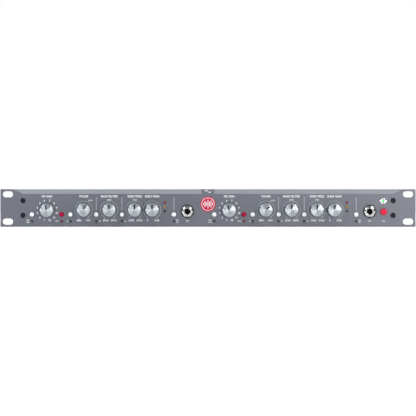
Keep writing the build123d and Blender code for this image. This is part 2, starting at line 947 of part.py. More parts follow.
with BuildPart() as mains_inlet:
    with BuildSketch(facing_front(chassis_depth)):
        with Locations((inlet_x, 0)):
            Rectangle(inlet_body_width, inlet_body_height)
    extrude(amount=chassis_depth - inlet_body_front)
    with BuildSketch(facing_front(inlet_face)):
        with Locations((inlet_x, 0)):
            RectangleRounded(inlet_flange_width, inlet_flange_height, inlet_flange_corner)
    extrude(amount=inlet_flange_thickness)
    with BuildSketch(facing_front(inlet_face)):
        with BuildLine():
            half_width = inlet_recess_width / 2
            recess_low = inlet_recess_z - inlet_recess_height / 2
            recess_high = inlet_recess_z + inlet_recess_height / 2
            Polyline(
                (inlet_x - half_width, recess_low),
                (inlet_x + half_width, recess_low),
                (inlet_x + half_width, recess_high - inlet_recess_corner),
                (inlet_x + half_width - inlet_recess_corner, recess_high),
                (inlet_x - half_width + inlet_recess_corner, recess_high),
                (inlet_x - half_width, recess_high - inlet_recess_corner),
                close=True,
            )
        make_face()
    extrude(amount=inlet_face - inlet_floor, mode=Mode.SUBTRACT)
    with BuildSketch(facing_front(inlet_face)):
        with Locations((inlet_x, drawer_z)):
            Rectangle(drawer_width + 2 * drawer_clearance, drawer_height + 2 * drawer_clearance)
    extrude(amount=inlet_face - drawer_front + 1, mode=Mode.SUBTRACT)
    with BuildSketch(facing_front(inlet_floor)):
        with Locations(
            (inlet_x - blade_pitch / 2, inlet_recess_z - blade_offset),
            (inlet_x, inlet_recess_z + blade_offset),
            (inlet_x + blade_pitch / 2, inlet_recess_z - blade_offset),
        ):
            Rectangle(blade_width, blade_height)
    extrude(amount=-blade_length)

save(mains_inlet, "mains_inlet")

with BuildPart() as fuse_drawer:
    with BuildSketch(facing_front(inlet_face)):
        with Locations((inlet_x, drawer_z)):
            Rectangle(drawer_width, drawer_height)
    extrude(amount=inlet_face - drawer_front)
    with BuildSketch(facing_front(inlet_face + drawer_face_gap + drawer_face_thickness)):
        with Locations((inlet_x, drawer_z)):
            RectangleRounded(drawer_width + 2 * drawer_lip, drawer_height + 2 * drawer_lip, drawer_lip)
    extrude(amount=drawer_face_thickness)
    with BuildSketch(facing_front(inlet_face + drawer_face_gap)):
        with Locations((inlet_x, drawer_z)):
            Rectangle(drawer_width, drawer_height)
    extrude(amount=drawer_face_gap)
    with BuildSketch(facing_front(inlet_face - drawer_wall)):
        with Locations((inlet_x, drawer_z + drawer_wall)):
            Rectangle(drawer_width - 2 * drawer_wall, drawer_height)
    extrude(amount=inlet_face - drawer_front - 2 * drawer_wall, mode=Mode.SUBTRACT)
    with BuildSketch(facing_front(inlet_face - drawer_wall - fuse_lift)):
        with Locations(
            (inlet_x - fuse_pitch / 2, drawer_z + fuse_lift),
            (inlet_x + fuse_pitch / 2, drawer_z + fuse_lift),
        ):
            Circle(fuse_radius)
    extrude(amount=fuse_length)

save(fuse_drawer, "fuse_drawer")


# ---------------------------------------------------------------- boards and power supply

def board_centre(box):
    """Centre of a board's box in plan."""
    return ((box[0][0] + box[1][0]) / 2, (box[0][1] + box[1][1]) / 2)


def board_size(box):
    """Width and depth of a board's box in plan."""
    return (box[1][0] - box[0][0], box[1][1] - box[0][1])


def standoff_points(box):
    """Fixing points of a board, inset from its corners."""
    low = (box[0][0] + standoff_inset, box[0][1] + standoff_inset)
    high = (box[1][0] - standoff_inset, box[1][1] - standoff_inset)
    return rectangle_points(low, high)


def flat_board(name, box):
    """Horizontal circuit board with its fixing holes."""
    with BuildPart() as board:
        with BuildSketch(Plane.XY.offset(board_z)):
            with Locations(board_centre(box)):
                Rectangle(*board_size(box))
            with Locations(*standoff_points(box)):
                Circle(screw_hole_radius, mode=Mode.SUBTRACT)
        extrude(amount=board_thickness)
    save(board, name)


with BuildPart() as control_board:
    with BuildSketch(facing_front(control_board_front)):
        with Locations((0, control_board_z)):
            Rectangle(control_board_width, control_board_height)
        with Locations(*front_jack_points()):
            Rectangle(jack_opening, jack_opening, mode=Mode.SUBTRACT)
    extrude(amount=-board_thickness)

save(control_board, "control_board")
flat_board("main_board", main_board_box)
flat_board("power_board", power_board_box)

with BuildPart() as board_standoffs:
    with BuildSketch(Plane.XY.offset(inner_bottom)):
        with Locations(*standoff_points(main_board_box), *standoff_points(power_board_box)):
            Circle(standoff_radius)
    extrude(amount=board_z - inner_bottom)

save(board_standoffs, "board_standoffs")

board_top = board_z + board_thickness

with BuildPart() as board_capacitors:
    with BuildSketch(Plane.XY.offset(board_top)):
        with Locations(*[(filter_capacitor_x, y) for y in filter_capacitor_y]):
            Circle(filter_capacitor_radius)
    extrude(amount=filter_capacitor_height)
    with BuildSketch(Plane.XY.offset(board_top)):
        for channel in channels:
            with Locations((in_channel(channel_board_x, channel), small_capacitor_y)):
                with GridLocations(*small_capacitor_pitch, *small_capacitor_count):
                    Circle(small_capacitor_radius)
    extrude(amount=small_capacitor_height)

save(board_capacitors, "board_capacitors")

with BuildPart() as mains_transformer:
    with BuildSketch(Plane.XY.offset(inner_bottom)):
        with Locations(toroid_centre):
            Circle(toroid_radius)
            Circle(toroid_hole_radius, mode=Mode.SUBTRACT)
    extrude(amount=toroid_height)
    outer_edges = mains_transformer.edges().filter_by(GeomType.CIRCLE).group_by(SortBy.RADIUS)[-1]
    fillet(outer_edges, radius=toroid_round)

save(mains_transformer, "mains_transformer")

with BuildPart() as transformer_clamp:
    clamp_seat = inner_bottom + toroid_height
    with BuildSketch(Plane.XY.offset(clamp_seat)):
        with Locations(toroid_centre):
            Circle(clamp_radius)
    extrude(amount=clamp_thickness)
    with BuildSketch(Plane.XY.offset(clamp_seat)):
        with Locations(toroid_centre):
            Circle(clamp_bolt_radius)
    extrude(amount=-toroid_height)
    with BuildSketch(Plane.XY.offset(clamp_seat + clamp_thickness)):
        with Locations(toroid_centre):
            RegularPolygon(radius=clamp_nut_radius, side_count=6)
    extrude(amount=clamp_nut_height)

save(transformer_clamp, "transformer_clamp")

with BuildPart() as internal_cables:
    for channel in channels:
        with BuildSketch(Plane.YZ.offset(in_channel(channel_board_x, channel) - ribbon_width / 2)):
            with BuildLine():
                Polyline(
                    (control_board_front + board_thickness, ribbon_z),
                    (ribbon_end_y, ribbon_z),
                    (ribbon_end_y, board_top),
                    (ribbon_end_y - ribbon_thickness, board_top),
                    (ribbon_end_y - ribbon_thickness, ribbon_z - ribbon_thickness),
                    (control_board_front + board_thickness, ribbon_z - ribbon_thickness),
                    close=True,
                )
            make_face()
        extrude(amount=ribbon_width)

save(internal_cables, "internal_cables")
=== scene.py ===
import math

import bmesh
import bpy
from mathutils import Matrix, Vector


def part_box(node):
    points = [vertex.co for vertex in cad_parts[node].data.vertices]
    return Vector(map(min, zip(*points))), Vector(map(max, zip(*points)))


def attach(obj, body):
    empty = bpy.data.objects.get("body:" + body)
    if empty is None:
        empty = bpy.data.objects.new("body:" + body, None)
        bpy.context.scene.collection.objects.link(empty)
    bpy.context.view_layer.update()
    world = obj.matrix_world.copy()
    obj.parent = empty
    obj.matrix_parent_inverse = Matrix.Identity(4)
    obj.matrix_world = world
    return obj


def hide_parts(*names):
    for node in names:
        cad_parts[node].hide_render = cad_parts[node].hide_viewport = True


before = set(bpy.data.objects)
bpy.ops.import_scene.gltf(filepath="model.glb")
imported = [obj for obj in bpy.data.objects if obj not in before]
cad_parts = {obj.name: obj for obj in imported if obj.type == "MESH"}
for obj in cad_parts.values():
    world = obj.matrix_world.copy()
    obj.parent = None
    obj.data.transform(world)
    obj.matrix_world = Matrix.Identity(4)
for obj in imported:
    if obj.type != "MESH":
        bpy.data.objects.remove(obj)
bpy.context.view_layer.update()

MM = 0.001
CASE = "case"
NOISE_ROUGHNESS = 0.55
GLOSS_SPREAD = 0.08
SHARP_ANGLE = math.radians(32)
CORNER_STEPS = 5
CHANNELS = (1, 2)
CONTROLS = ("gain", "output", "low_cut", "eq_freq", "eq_gain")
BUTTON_NUMBERS = (1, 2, 3, 4, 5)


def middle(node):
    """Centre of a CAD node's box."""
    low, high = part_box(node)
    return (low + high) / 2


panel_low, panel_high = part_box("front_panel")
PANEL_FACE = panel_low.y
PANEL_TOP = panel_high.z
PANEL_BOTTOM = panel_low.z
CHANNEL_PITCH = middle("gain_knob_2").x - middle("gain_knob_1").x


# ---------------------------------------------------------------- materials

def new_material(name, colour, metallic=0.0, roughness=0.5, **constants):
    """Material whose Principled shader has these constants on its own sockets."""
    material = bpy.data.materials.new(name)
    material.use_nodes = True
    shader = material.node_tree.nodes["Principled BSDF"]
    shader.inputs["Base Color"].default_value = (*colour, 1.0)
    shader.inputs["Metallic"].default_value = metallic
    shader.inputs["Roughness"].default_value = roughness
    for socket, value in constants.items():
        shader.inputs[socket.replace("_", " ")].default_value = value
    return material


def add_node(material, kind, inputs=(), **settings):
    """Adds a shader node to a material or world; inputs are (socket, value or output socket) pairs."""
    node = material.node_tree.nodes.new(kind)
    for key, value in settings.items():
        setattr(node, key, value)
    for socket, value in inputs:
        if isinstance(value, bpy.types.NodeSocket):
            material.node_tree.links.new(value, node.inputs[socket])
        else:
            node.inputs[socket].default_value = value
    return node


def shader_of(material):
    """The material's Principled shader."""
    return material.node_tree.nodes["Principled BSDF"]


def connect(material, output, socket):
    """Links an output to one of the shader's inputs."""
    material.node_tree.links.new(output, shader_of(material).inputs[socket])


def add_relief(material, height, depth):
    """Bumps the surface by a height value; depth is in millimetres."""
    inputs = [("Height", height), ("Distance", depth * MM), ("Strength", 1.0)]
    bump = add_node(material, "ShaderNodeBump", inputs)
    connect(material, bump.outputs["Normal"], "Normal")


def surface_point(material, stretch=(1.0, 1.0, 1.0)):
    """The point on the surface in metres, stretched for a directional grain."""
    coords = add_node(material, "ShaderNodeTexCoord")
    return add_node(
        material, "ShaderNodeMapping", [("Vector", coords.outputs["Object"]), ("Scale", stretch)],
    ).outputs["Vector"]


def noise(material, point, scale, detail=4.0):
    """Fractal noise value at a point; scale is in cycles per metre."""
    return add_node(
        material, "ShaderNodeTexNoise",
        [("Vector", point), ("Scale", scale), ("Detail", detail), ("Roughness", NOISE_ROUGHNESS)],
    ).outputs["Fac"]


def remap(material, value, low, high, from_low=0.3, from_high=0.7):
    """Maps a noise value to the range from low to high."""
    return add_node(
        material, "ShaderNodeMapRange",
        [
            ("Value", value), ("From Min", from_low), ("From Max", from_high), ("To Min", low),
            ("To Max", high),
        ],
    ).outputs["Result"]


def mix_colours(material, factor, first, second):
    """Blend of two colours, each a tuple or an output socket."""
    node = add_node(material, "ShaderNodeMix", data_type="RGBA")
    material.node_tree.links.new(factor, node.inputs["Factor"])
    for index, value in ((6, first), (7, second)):
        if isinstance(value, bpy.types.NodeSocket):
            material.node_tree.links.new(value, node.inputs[index])
        else:
            node.inputs[index].default_value = (*value, 1.0)
    return node.outputs[2]


def calculate(material, operation, first, second=0.0):
    """Result of a math node."""
    node = add_node(material, "ShaderNodeMath", [(0, first), (1, second)], operation=operation)
    return node.outputs["Value"]


def shade(colour, factor):
    """A colour made darker or lighter."""
    return tuple(min(1.0, channel * factor) for channel in colour)


def weathered(
    name, colour, metallic=0.0, roughness=0.5, tint=0.12, patch=60.0, grain=2500.0, relief=0.01,
    stretch=(1.0, 1.0, 1.0), **constants,
):
    """Material with patchy colour, uneven gloss and a fine relief, whose height is in millimetres."""
    material = new_material(name, colour, metallic, roughness, **constants)
    point = surface_point(material, stretch)
    patches = noise(material, point, patch)
    fine = noise(material, point, grain, detail=6.0)
    tone = remap(material, patches, 0.0, 1.0)
    patchy = mix_colours(material, tone, shade(colour, 1 - tint), shade(colour, 1 + tint))
    connect(material, patchy, "Base Color")
    half = GLOSS_SPREAD / 2
    uneven = remap(material, patches, -half, half)
    spread = remap(material, fine, roughness - half, roughness + half)
    connect(material, calculate(material, "ADD", spread, uneven), "Roughness")
    add_relief(material, fine, relief)
    return material


def edge_mask(material, axis_limits, width):
    """One near the box limits given as {axis index: (low, high)}, zero inside, over a width in metres."""
    coords = add_node(material, "ShaderNodeTexCoord")
    split = add_node(material, "ShaderNodeSeparateXYZ", [("Vector", coords.outputs["Object"])])
    total = None
    for axis, (low, high) in axis_limits.items():
        centre = (low + high) / 2
        half = (high - low) / 2
        offset = calculate(material, "SUBTRACT", split.outputs[axis], centre)
        inside = calculate(material, "SUBTRACT", half, calculate(material, "ABSOLUTE", offset))
        near = remap(material, inside, 1.0, 0.0, from_low=0.0, from_high=width)
        total = near if total is None else calculate(material, "MAXIMUM", total, near)
    return total


def panel_finish():
    """Grey anodised panel: fine satin grain, lighter worn edges, and a lighter upward bevel, partly its
    machined finish and partly painted light from above.
    """
    grey = (0.128, 0.138, 0.166)
    # Bevel colour: partly the bright machined cut, partly painted light from above.
    bevel_machined_and_lit = (0.275, 0.295, 0.33)
    worn = (0.42, 0.43, 0.46)
    material = new_material("panel_anodised", grey, metallic=0.55, roughness=0.34)
    point = surface_point(material)
    patches = noise(material, point, 14.0)
    fine = noise(material, point, 3200.0, detail=6.0)
    brushed = noise(material, surface_point(material, (0.03, 1.0, 1.0)), 2600.0, detail=6.0)
    tone = remap(material, patches, 0.0, 1.0)
    base = mix_colours(material, tone, shade(grey, 0.95), shade(grey, 1.05))
    speckle = remap(material, fine, 0.0, 0.16)
    base = mix_colours(material, speckle, base, shade(grey, 0.72))
    # Faces tilted upwards take the lighter bevel colour: partly a machined finish, partly painted light from
    # above.
    normal = add_node(material, "ShaderNodeNewGeometry").outputs["True Normal"]
    slope = add_node(material, "ShaderNodeSeparateXYZ", [("Vector", normal)])
    tilted_up = calculate(material, "GREATER_THAN", slope.outputs["Z"], 0.1)
    not_top = calculate(material, "LESS_THAN", slope.outputs["Z"], 0.8)
    machined_and_lit_bevel_mask = calculate(material, "MULTIPLY", tilted_up, not_top)
    bevel_cut_and_sheen = mix_colours(material, brushed, shade(bevel_machined_and_lit, 0.9), shade(bevel_machined_and_lit, 1.1))
    base = mix_colours(material, machined_and_lit_bevel_mask, base, bevel_cut_and_sheen)
    wear = edge_mask(
        material, {0: (panel_low.x, panel_high.x), 2: (panel_low.z, panel_high.z)}, 0.35 * MM,
    )
    wear = calculate(material, "MULTIPLY", wear, remap(material, patches, 0.2, 0.7))
    base = mix_colours(material, wear, base, worn)
    connect(material, base, "Base Color")
    add_relief(material, mix_colours(material, machined_and_lit_bevel_mask, fine, brushed), 0.006)
    connect(material, remap(material, fine, 0.30, 0.38), "Roughness")
    return material


def box_edge_mask(material, low, high, width):
    """One near the edges of a box, where two of its faces meet, and zero elsewhere."""
    sides = [edge_mask(material, {axis: (low[axis], high[axis])}, width) for axis in range(3)]
    x_y = calculate(material, "MINIMUM", sides[0], sides[1])
    y_z = calculate(material, "MINIMUM", sides[1], sides[2])
    x_z = calculate(material, "MINIMUM", sides[0], sides[2])
    return calculate(material, "MAXIMUM", calculate(material, "MAXIMUM", x_y, y_z), x_z)


def case_finish():
    """Black powder coat with fine orange peel, rubbed grey along the case's edges."""
    coat = (0.028, 0.029, 0.032)
    material = weathered(
        "powder_coat", coat, roughness=0.48, tint=0.2, patch=40.0, grain=1300.0, relief=0.035
    )
    low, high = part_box("bottom_plate")
    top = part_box("top_cover")[1]
    edges = box_edge_mask(material, low, (high.x, high.y, top.z), 0.9 * MM)
    scuffs = noise(material, surface_point(material), 120.0, detail=6.0)
    rubbed = calculate(material, "MULTIPLY", edges, remap(material, scuffs, 0.0, 0.75, 0.42, 0.62))
    coated = shader_of(material).inputs["Base Color"].links[0].from_socket
    connect(material, mix_colours(material, rubbed, coated, (0.16, 0.16, 0.165)), "Base Color")
    return material


def turned_metal(name, colour, roughness, anisotropy, ring_pitch, relief):
    """Metal turned on a lathe about local Y: fine rings, radial grain and uneven polish."""
    material = new_material(
        name, colour, metallic=1.0, roughness=roughness, Anisotropic=anisotropy,
        Anisotropic_Rotation=0.25,
    )
    coords = add_node(material, "ShaderNodeTexCoord")
    split = add_node(material, "ShaderNodeSeparateXYZ", [("Vector", coords.outputs["Object"])])
    flat = add_node(
        material, "ShaderNodeCombineXYZ", [("X", split.outputs["X"]), ("Y", split.outputs["Z"])],
    )
    length = add_node(
        material, "ShaderNodeVectorMath", [(0, flat.outputs["Vector"])], operation="LENGTH"
    )
    across = add_node(
        material, "ShaderNodeCombineXYZ",
        [("X", length.outputs["Value"]), ("Y", split.outputs["Y"])],
    )
    rings = noise(material, across.outputs["Vector"], 1.0 / (ring_pitch * MM), detail=5.0)
    smudge = noise(material, surface_point(material), 220.0)
    tone = remap(material, smudge, 0.0, 1.0)
    streak = remap(material, rings, 0.0, 1.0)
    base = mix_colours(material, tone, shade(colour, 0.93), shade(colour, 1.05))
    base = mix_colours(material, calculate(material, "MULTIPLY", streak, 0.3), base, shade(colour, 0.72))
    connect(material, base, "Base Color")
    gloss = calculate(
        material, "ADD", remap(material, rings, roughness - 0.06, roughness + 0.06),
        remap(material, smudge, -0.03, 0.05),
    )
    connect(material, gloss, "Roughness")
    tangent = add_node(material, "ShaderNodeTangent", direction_type="RADIAL", axis="Y")
    connect(material, tangent.outputs["Tangent"], "Tangent")
    add_relief(material, rings, relief)
    return material


def lamp_lens(name, colour, glow=0.0):
    """Tinted epoxy lens with faint cloudiness; glow is its own light."""
    material = weathered(
        name, colour, roughness=0.25, tint=0.25, patch=900.0, grain=5000.0, relief=0.002,
        Coat_Weight=0.1, Coat_Roughness=0.15, Subsurface_Weight=0.25, Subsurface_Scale=0.0012,
        Transmission_Weight=0.15,
    )
    if glow:
        shader_of(material).inputs["Emission Color"].default_value = (*colour, 1.0)
        shader_of(material).inputs["Emission Strength"].default_value = glow
    return material


MATERIALS = {
    "panel": panel_finish(),
    "paint": case_finish(),
    "ink": weathered("legend_ink", (0.62, 0.64, 0.65), roughness=0.55, tint=0.05, patch=900.0, relief=0.004),
    "line_ink": weathered(
        "scale_ink", (0.42, 0.44, 0.455), roughness=0.55, tint=0.05, patch=900.0, relief=0.004
    ),
    "spun": turned_metal("spun_aluminium", (0.42, 0.463, 0.495), 0.29, 0.96, 0.16, 0.004),
    "pointer": weathered(
        "pointer_paint", (0.008, 0.008, 0.01), roughness=0.5, tint=0.3, patch=900.0, Specular_IOR_Level=0.2
    ),
    "chrome": turned_metal("polished_chrome", (0.80, 0.81, 0.83), 0.10, 0.0, 0.3, 0.001),
    "nickel": weathered(
        "satin_nickel", (0.52, 0.51, 0.49), metallic=1.0, roughness=0.32, tint=0.08, patch=300.0, relief=0.003
    ),
    "gold": weathered(
        "gold_contacts", (0.83, 0.60, 0.24), metallic=1.0, roughness=0.22, tint=0.06, patch=400.0
    ),
    "black_steel": weathered(
        "black_oxide", (0.011, 0.011, 0.0125), metallic=0.75, roughness=0.34, tint=0.35, patch=500.0,
        relief=0.006,
    ),
    "nylon": weathered(
        "black_nylon", (0.014, 0.014, 0.015), roughness=0.42, tint=0.25, patch=300.0, relief=0.012
    ),
    "white_cap": weathered(
        "white_cap", (0.79, 0.79, 0.82), roughness=0.28, tint=0.03, patch=500.0, relief=0.002,
        Coat_Weight=0.35,
    ),
    "crimson_cap": weathered(
        "crimson_cap", (0.37, 0.0, 0.04), roughness=0.42, tint=0.08, patch=500.0, relief=0.002,
        Specular_IOR_Level=0.12,
    ),
    "red_cap": weathered(
        "red_cap", (0.62, 0.003, 0.04), roughness=0.36, tint=0.06, patch=500.0, relief=0.002,
        Specular_IOR_Level=0.25,
    ),
    "enamel": weathered(
        "badge_enamel", (0.45, 0.002, 0.05), roughness=0.2, tint=0.06, patch=300.0, relief=0.001,
        Coat_Weight=0.15,
    ),
    "enamel_white": weathered("badge_white", (0.78, 0.74, 0.75), roughness=0.25, tint=0.04, patch=300.0),
    "green_lens": lamp_lens("green_lens", (0.0, 0.06, 0.03)),
    "red_lens": lamp_lens("red_lens", (0.17, 0.0, 0.014)),
    "meter_red_lens": lamp_lens("meter_red_lens", (0.24, 0.02, 0.035)),
    "amber_lens": lamp_lens("amber_lens", (0.38, 0.24, 0.02)),
    "lit_lens": lamp_lens("lit_lens", (0.07, 0.70, 0.20), glow=0.28),
    "board": weathered(
        "solder_mask", (0.012, 0.11, 0.045), roughness=0.35, tint=0.3, patch=180.0, relief=0.01
    ),
    "control": weathered(
        "control_body", (0.05, 0.06, 0.09), roughness=0.5, tint=0.2, patch=200.0, relief=0.01
    ),
    "brass": weathered(
        "turned_brass", (0.60, 0.43, 0.16), metallic=1.0, roughness=0.3, tint=0.1, patch=300.0
    ),
    "sleeve": weathered(
        "shrink_sleeve", (0.015, 0.02, 0.06), roughness=0.3, tint=0.2, patch=200.0, relief=0.006
    ),
    "tape": weathered("winding_tape", (0.55, 0.42, 0.05), roughness=0.4, tint=0.15, patch=90.0, relief=0.05),
    "ribbon": weathered(
        "ribbon_cable", (0.42, 0.43, 0.45), roughness=0.5, tint=0.2, patch=500.0, stretch=(1.0, 0.05, 0.05)
    ),
}


# ---------------------------------------------------------------- mesh helpers

def add_object(name, data):
    """New object in the scene."""
    item = bpy.data.objects.new(name, data)
    bpy.context.scene.collection.objects.link(item)
    return item


def finish_mesh(name, mesh_data, material, place, body):
    """Makes an object from a bmesh, smooth apart from its sharp edges, riding on a body."""
    bmesh.ops.remove_doubles(mesh_data, verts=mesh_data.verts, dist=1e-8)
    bmesh.ops.recalc_face_normals(mesh_data, faces=mesh_data.faces)
    mesh = bpy.data.meshes.new(name)
    mesh_data.to_mesh(mesh)
    mesh_data.free()
    mesh.shade_smooth()
    mesh.set_sharp_from_angle(angle=SHARP_ANGLE)
    mesh.materials.append(material)
    piece = add_object(name, mesh)
    piece.location = place
    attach(piece, body)
    return piece


def rounded_profile(points):
    """Profile of (radius, depth, corner radius) points, its corners turned into arcs, in millimetres."""
    result = []
    count = len(points)
    for index, (radius, depth, corner) in enumerate(points):
        here = Vector((radius, depth))
        if corner == 0 or index in (0, count - 1):
            result.append(here)
            continue
        to_last = Vector(points[index - 1][:2]) - here
        to_next = Vector(points[index + 1][:2]) - here
        turn = to_last.angle(to_next)
        reach = corner / math.tan(turn / 2)
        reach = min(reach, to_last.length * 0.49, to_next.length * 0.49)
        start = here + to_last.normalized() * reach
        end = here + to_next.normalized() * reach
        for step in range(CORNER_STEPS + 1):
            share = step / CORNER_STEPS
            bend = start.lerp(here, share).lerp(here.lerp(end, share), share)
            result.append(bend)
    return result


def lathe(name, points, material, place, body, segments=72, closed=False, radius_at=None):
    """Turns a profile about Y through place; radius_at(radius, depth, angle) may shape it."""
    profile = rounded_profile(points)
    mesh_data = bmesh.new()
    rings = []
    for point in profile:
        radius, depth = point.x * MM, point.y * MM
        if radius < 1e-9:
            rings.append([mesh_data.verts.new((0, depth, 0))])
            continue
        ring = []
        for step in range(segments):
            angle = 2 * math.pi * step / segments
            wide = radius_at(radius, depth, angle) if radius_at else radius
            ring.append(mesh_data.verts.new((wide * math.sin(angle), depth, wide * math.cos(angle))))
        rings.append(ring)
    pairs = list(zip(rings, rings[1:]))
    if closed:
        pairs.append((rings[-1], rings[0]))
    for first, second in pairs:
        for step in range(segments):
            follow = (step + 1) % segments
            if len(first) == 1 and len(second) == 1:
                break
            if len(first) == 1:
                mesh_data.faces.new((first[0], second[step], second[follow]))
            elif len(second) == 1:
                mesh_data.faces.new((first[step], second[0], first[follow]))
            else:
                mesh_data.faces.new((first[step], second[step], second[follow], first[follow]))
    return finish_mesh(name, mesh_data, material, place, body)


def make_turned(name, points, look, slot_name, place, body=CASE, nodes=(), **shape):
    """Turned piece with its look and the CAD nodes that it stands for; slot_name is not used."""
    piece = lathe(name, points, MATERIALS[look], Vector(place), body, **shape)
    if nodes:
        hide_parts(*nodes)
    return piece


def axis_of(node):
    """Point on a node's turning axis, in the plane y = 0."""
    centre = middle(node)
    return Vector((centre.x, 0, centre.z))


def from_flat(angle):
    """Angle from the middle of the nearest flat of a hexagon."""
    return (angle + math.pi / 6) % (math.pi / 3) - math.pi / 6


def hexagon(flats, corner_radius):
    """Radius function of a hexagon across flats with its corners rounded off, in millimetres."""

    def radius_at(radius, depth, angle):
        hex_radius = min(flats / 2 / math.cos(from_flat(angle)), corner_radius) * MM
        return min(radius, hex_radius)

    return radius_at


def slab(mesh_data, outline, back, front):
    """Adds a closed flat plate to a bmesh: outline of (x, z) points in metres between two depths."""
    rear = [mesh_data.verts.new((x, back, z)) for x, z in outline]
    face = [mesh_data.verts.new((x, front, z)) for x, z in outline]
    mesh_data.faces.new(rear)
    mesh_data.faces.new(list(reversed(face)))
    count = len(outline)
    for index in range(count):
        follow = (index + 1) % count
        mesh_data.faces.new((rear[index], face[index], face[follow], rear[follow]))


def arc_points(radius, start, end, steps, centre=(0.0, 0.0)):
    """Points on an arc; angles are clockwise from the top, in degrees."""
    result = []
    for step in range(steps + 1):
        angle = math.radians(start + (end - start) * step / steps)
        result.append((centre[0] + radius * math.sin(angle), centre[1] + radius * math.cos(angle)))
    return result


def arc_band(mesh_data, centre, radius, width, start, end, back, front, steps=72):
    """Adds a closed curved band, as a printed dial ring, to a bmesh."""
    outer = arc_points(radius + width / 2, start, end, steps, centre)
    inner = arc_points(radius - width / 2, start, end, steps, centre)
    whole = abs(end - start) >= 360
    corners = []
    for (outer_x, outer_z), (inner_x, inner_z) in zip(outer, inner):
        corners.append(
            [
                mesh_data.verts.new((outer_x, back, outer_z)),
                mesh_data.verts.new((outer_x, front, outer_z)),
                mesh_data.verts.new((inner_x, front, inner_z)),
                mesh_data.verts.new((inner_x, back, inner_z)),
            ]
        )
    for first, second in zip(corners, corners[1:]):
        for side in range(4):
            follow = (side + 1) % 4
            mesh_data.faces.new((first[side], second[side], second[follow], first[follow]))
    if not whole:
        mesh_data.faces.new(corners[0])
        mesh_data.faces.new(list(reversed(corners[-1])))


def rounded_bar(length, width, steps=8):
    """Outline of a bar with round ends, along local x, centred."""
    radius = width / 2
    straight = length / 2 - radius
    right = [(straight + x, z) for x, z in arc_points(radius, 0, 180, steps)]
    left = [(-straight - x, -z) for x, z in arc_points(radius, 0, 180, steps)]
    return right + left


def turned(outline, degrees, centre):
    """Outline turned clockwise by degrees and moved to a centre."""
    angle = math.radians(degrees)
    return [
        (
            centre[0] + x * math.cos(angle) + z * math.sin(angle),
            centre[1] - x * math.sin(angle) + z * math.cos(angle),
        )
        for x, z in outline
    ]


# ---------------------------------------------------------------- knobs

KNOB_BASE = 8.1
KNOB_FACE = 7.4
KNOB_GAP = 0.8
KNOB_RIM = 2.0
RECESS_RADIUS = 6.4
RECESS_DEPTH = 3.2
SHAFT_RADIUS = 3.0
SHAFT_END = 9.0
POINTER_START = 0.6
POINTER_END = 5.8
POINTER_WIDTH = 1.7
POINTER_STEPS = 20
POINTER_SECTION = ((-1, -0.02), (1, -0.02), (1, 0.3), (-1, 0.3))
CROWN = 0.42
FACE_EDGE = 6.95
FACE_RADII = (0.0, 1.5, 3.0, 4.5, 5.4, FACE_EDGE)
POINTER_REST = {
    "gain": (-15.0, -15.0),
    "output": (28.0, 47.0),
    "low_cut": (0.0, 0.0),
    "eq_freq": (0.0, 0.0),
    "eq_gain": (0.0, 0.0),
}


def face_drop(radius):
    """How far the crowned face lies behind its centre at a radius, in millimetres."""
    return CROWN * (radius / KNOB_FACE) ** 2


def make_knob(node, rest_angle):
    """Turned aluminium knob with a slightly crowned face and a black filled pointer line."""
    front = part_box(node)[0].y / MM
    rear = PANEL_FACE / MM - KNOB_GAP
    centre = axis_of(node)
    profile = [(radius, front + face_drop(radius), 0) for radius in FACE_RADII] + [
        (KNOB_FACE, front + 0.75, 0.25), (KNOB_BASE - 0.1, rear - KNOB_RIM, 0.6),
        (KNOB_BASE, rear - KNOB_RIM + 0.3, 0.1), (KNOB_BASE, rear, 0.25),
        (RECESS_RADIUS, rear, 0.1), (RECESS_RADIUS, rear - RECESS_DEPTH, 0),
        (SHAFT_RADIUS, rear - RECESS_DEPTH, 0), (SHAFT_RADIUS, SHAFT_END, 0.3), (0.0, SHAFT_END, 0),
    ]
    make_turned(f"{node}_turned", profile, "spun", "spun_aluminium", centre, node, (node,), segments=96)
    mesh_data = bmesh.new()
    rows = []
    length, half = POINTER_END - POINTER_START, POINTER_WIDTH / 2
    lean = math.radians(rest_angle)
    for step in range(POINTER_STEPS + 1):
        along = length * (1 - math.cos(math.pi * step / POINTER_STEPS)) / 2
        end_gap = max(0.0, half - min(along, length - along))
        wide = max(math.sqrt(half**2 - end_gap**2), 0.05)
        radius = POINTER_START + along
        row = []
        for side, lift in POINTER_SECTION:
            x = radius * math.sin(lean) + side * wide * math.cos(lean)
            z = radius * math.cos(lean) - side * wide * math.sin(lean)
            row.append(mesh_data.verts.new((x * MM, (front + face_drop(radius) + lift) * MM, z * MM)))
        rows.append(row)
    for first, second in zip(rows, rows[1:]):
        for here in range(4):
            there = (here + 1) % 4
            mesh_data.faces.new((first[here], first[there], second[there], second[here]))
    mesh_data.faces.new(rows[0])
    mesh_data.faces.new(list(reversed(rows[-1])))
    pointer = finish_mesh(f"{node}_pointer", mesh_data, MATERIALS["pointer"], centre, node)


for control in CONTROLS:
    for channel in CHANNELS:
        make_knob(f"{control}_knob_{channel}", POINTER_REST[control][channel - 1])


# ---------------------------------------------------------------- buttons

BUTTON_RADIUS = 2.45
POWER_RADIUS = 3.6
COLLAR_STEP = 0.85
COLLAR_FRONT = 0.6
COLLAR_REAR = 1.4
STEM_RADIUS = 1.5


def make_button(node, look, slot_name, radius):
    """Moulded push button: dished cap with soft edges, collar and stem."""
    low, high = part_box(node)
    front, rear = low.y / MM, high.y / MM
    dimple = radius * 0.30
    profile = [
        (0.0, front + 0.42, 0), (dimple, front + 0.30, 0.5), (dimple * 1.5, front + 0.02, 0.5),
        (radius, front, 0.55), (radius, COLLAR_FRONT, 0), (radius + COLLAR_STEP, COLLAR_FRONT, 0.1),
        (radius + COLLAR_STEP, COLLAR_REAR, 0.1), (STEM_RADIUS, COLLAR_REAR, 0.1),
        (STEM_RADIUS, rear, 0.2), (0.0, rear, 0),
    ]
    make_turned(f"{node}_cap", profile, look, slot_name, axis_of(node), node, (node,), segments=64)


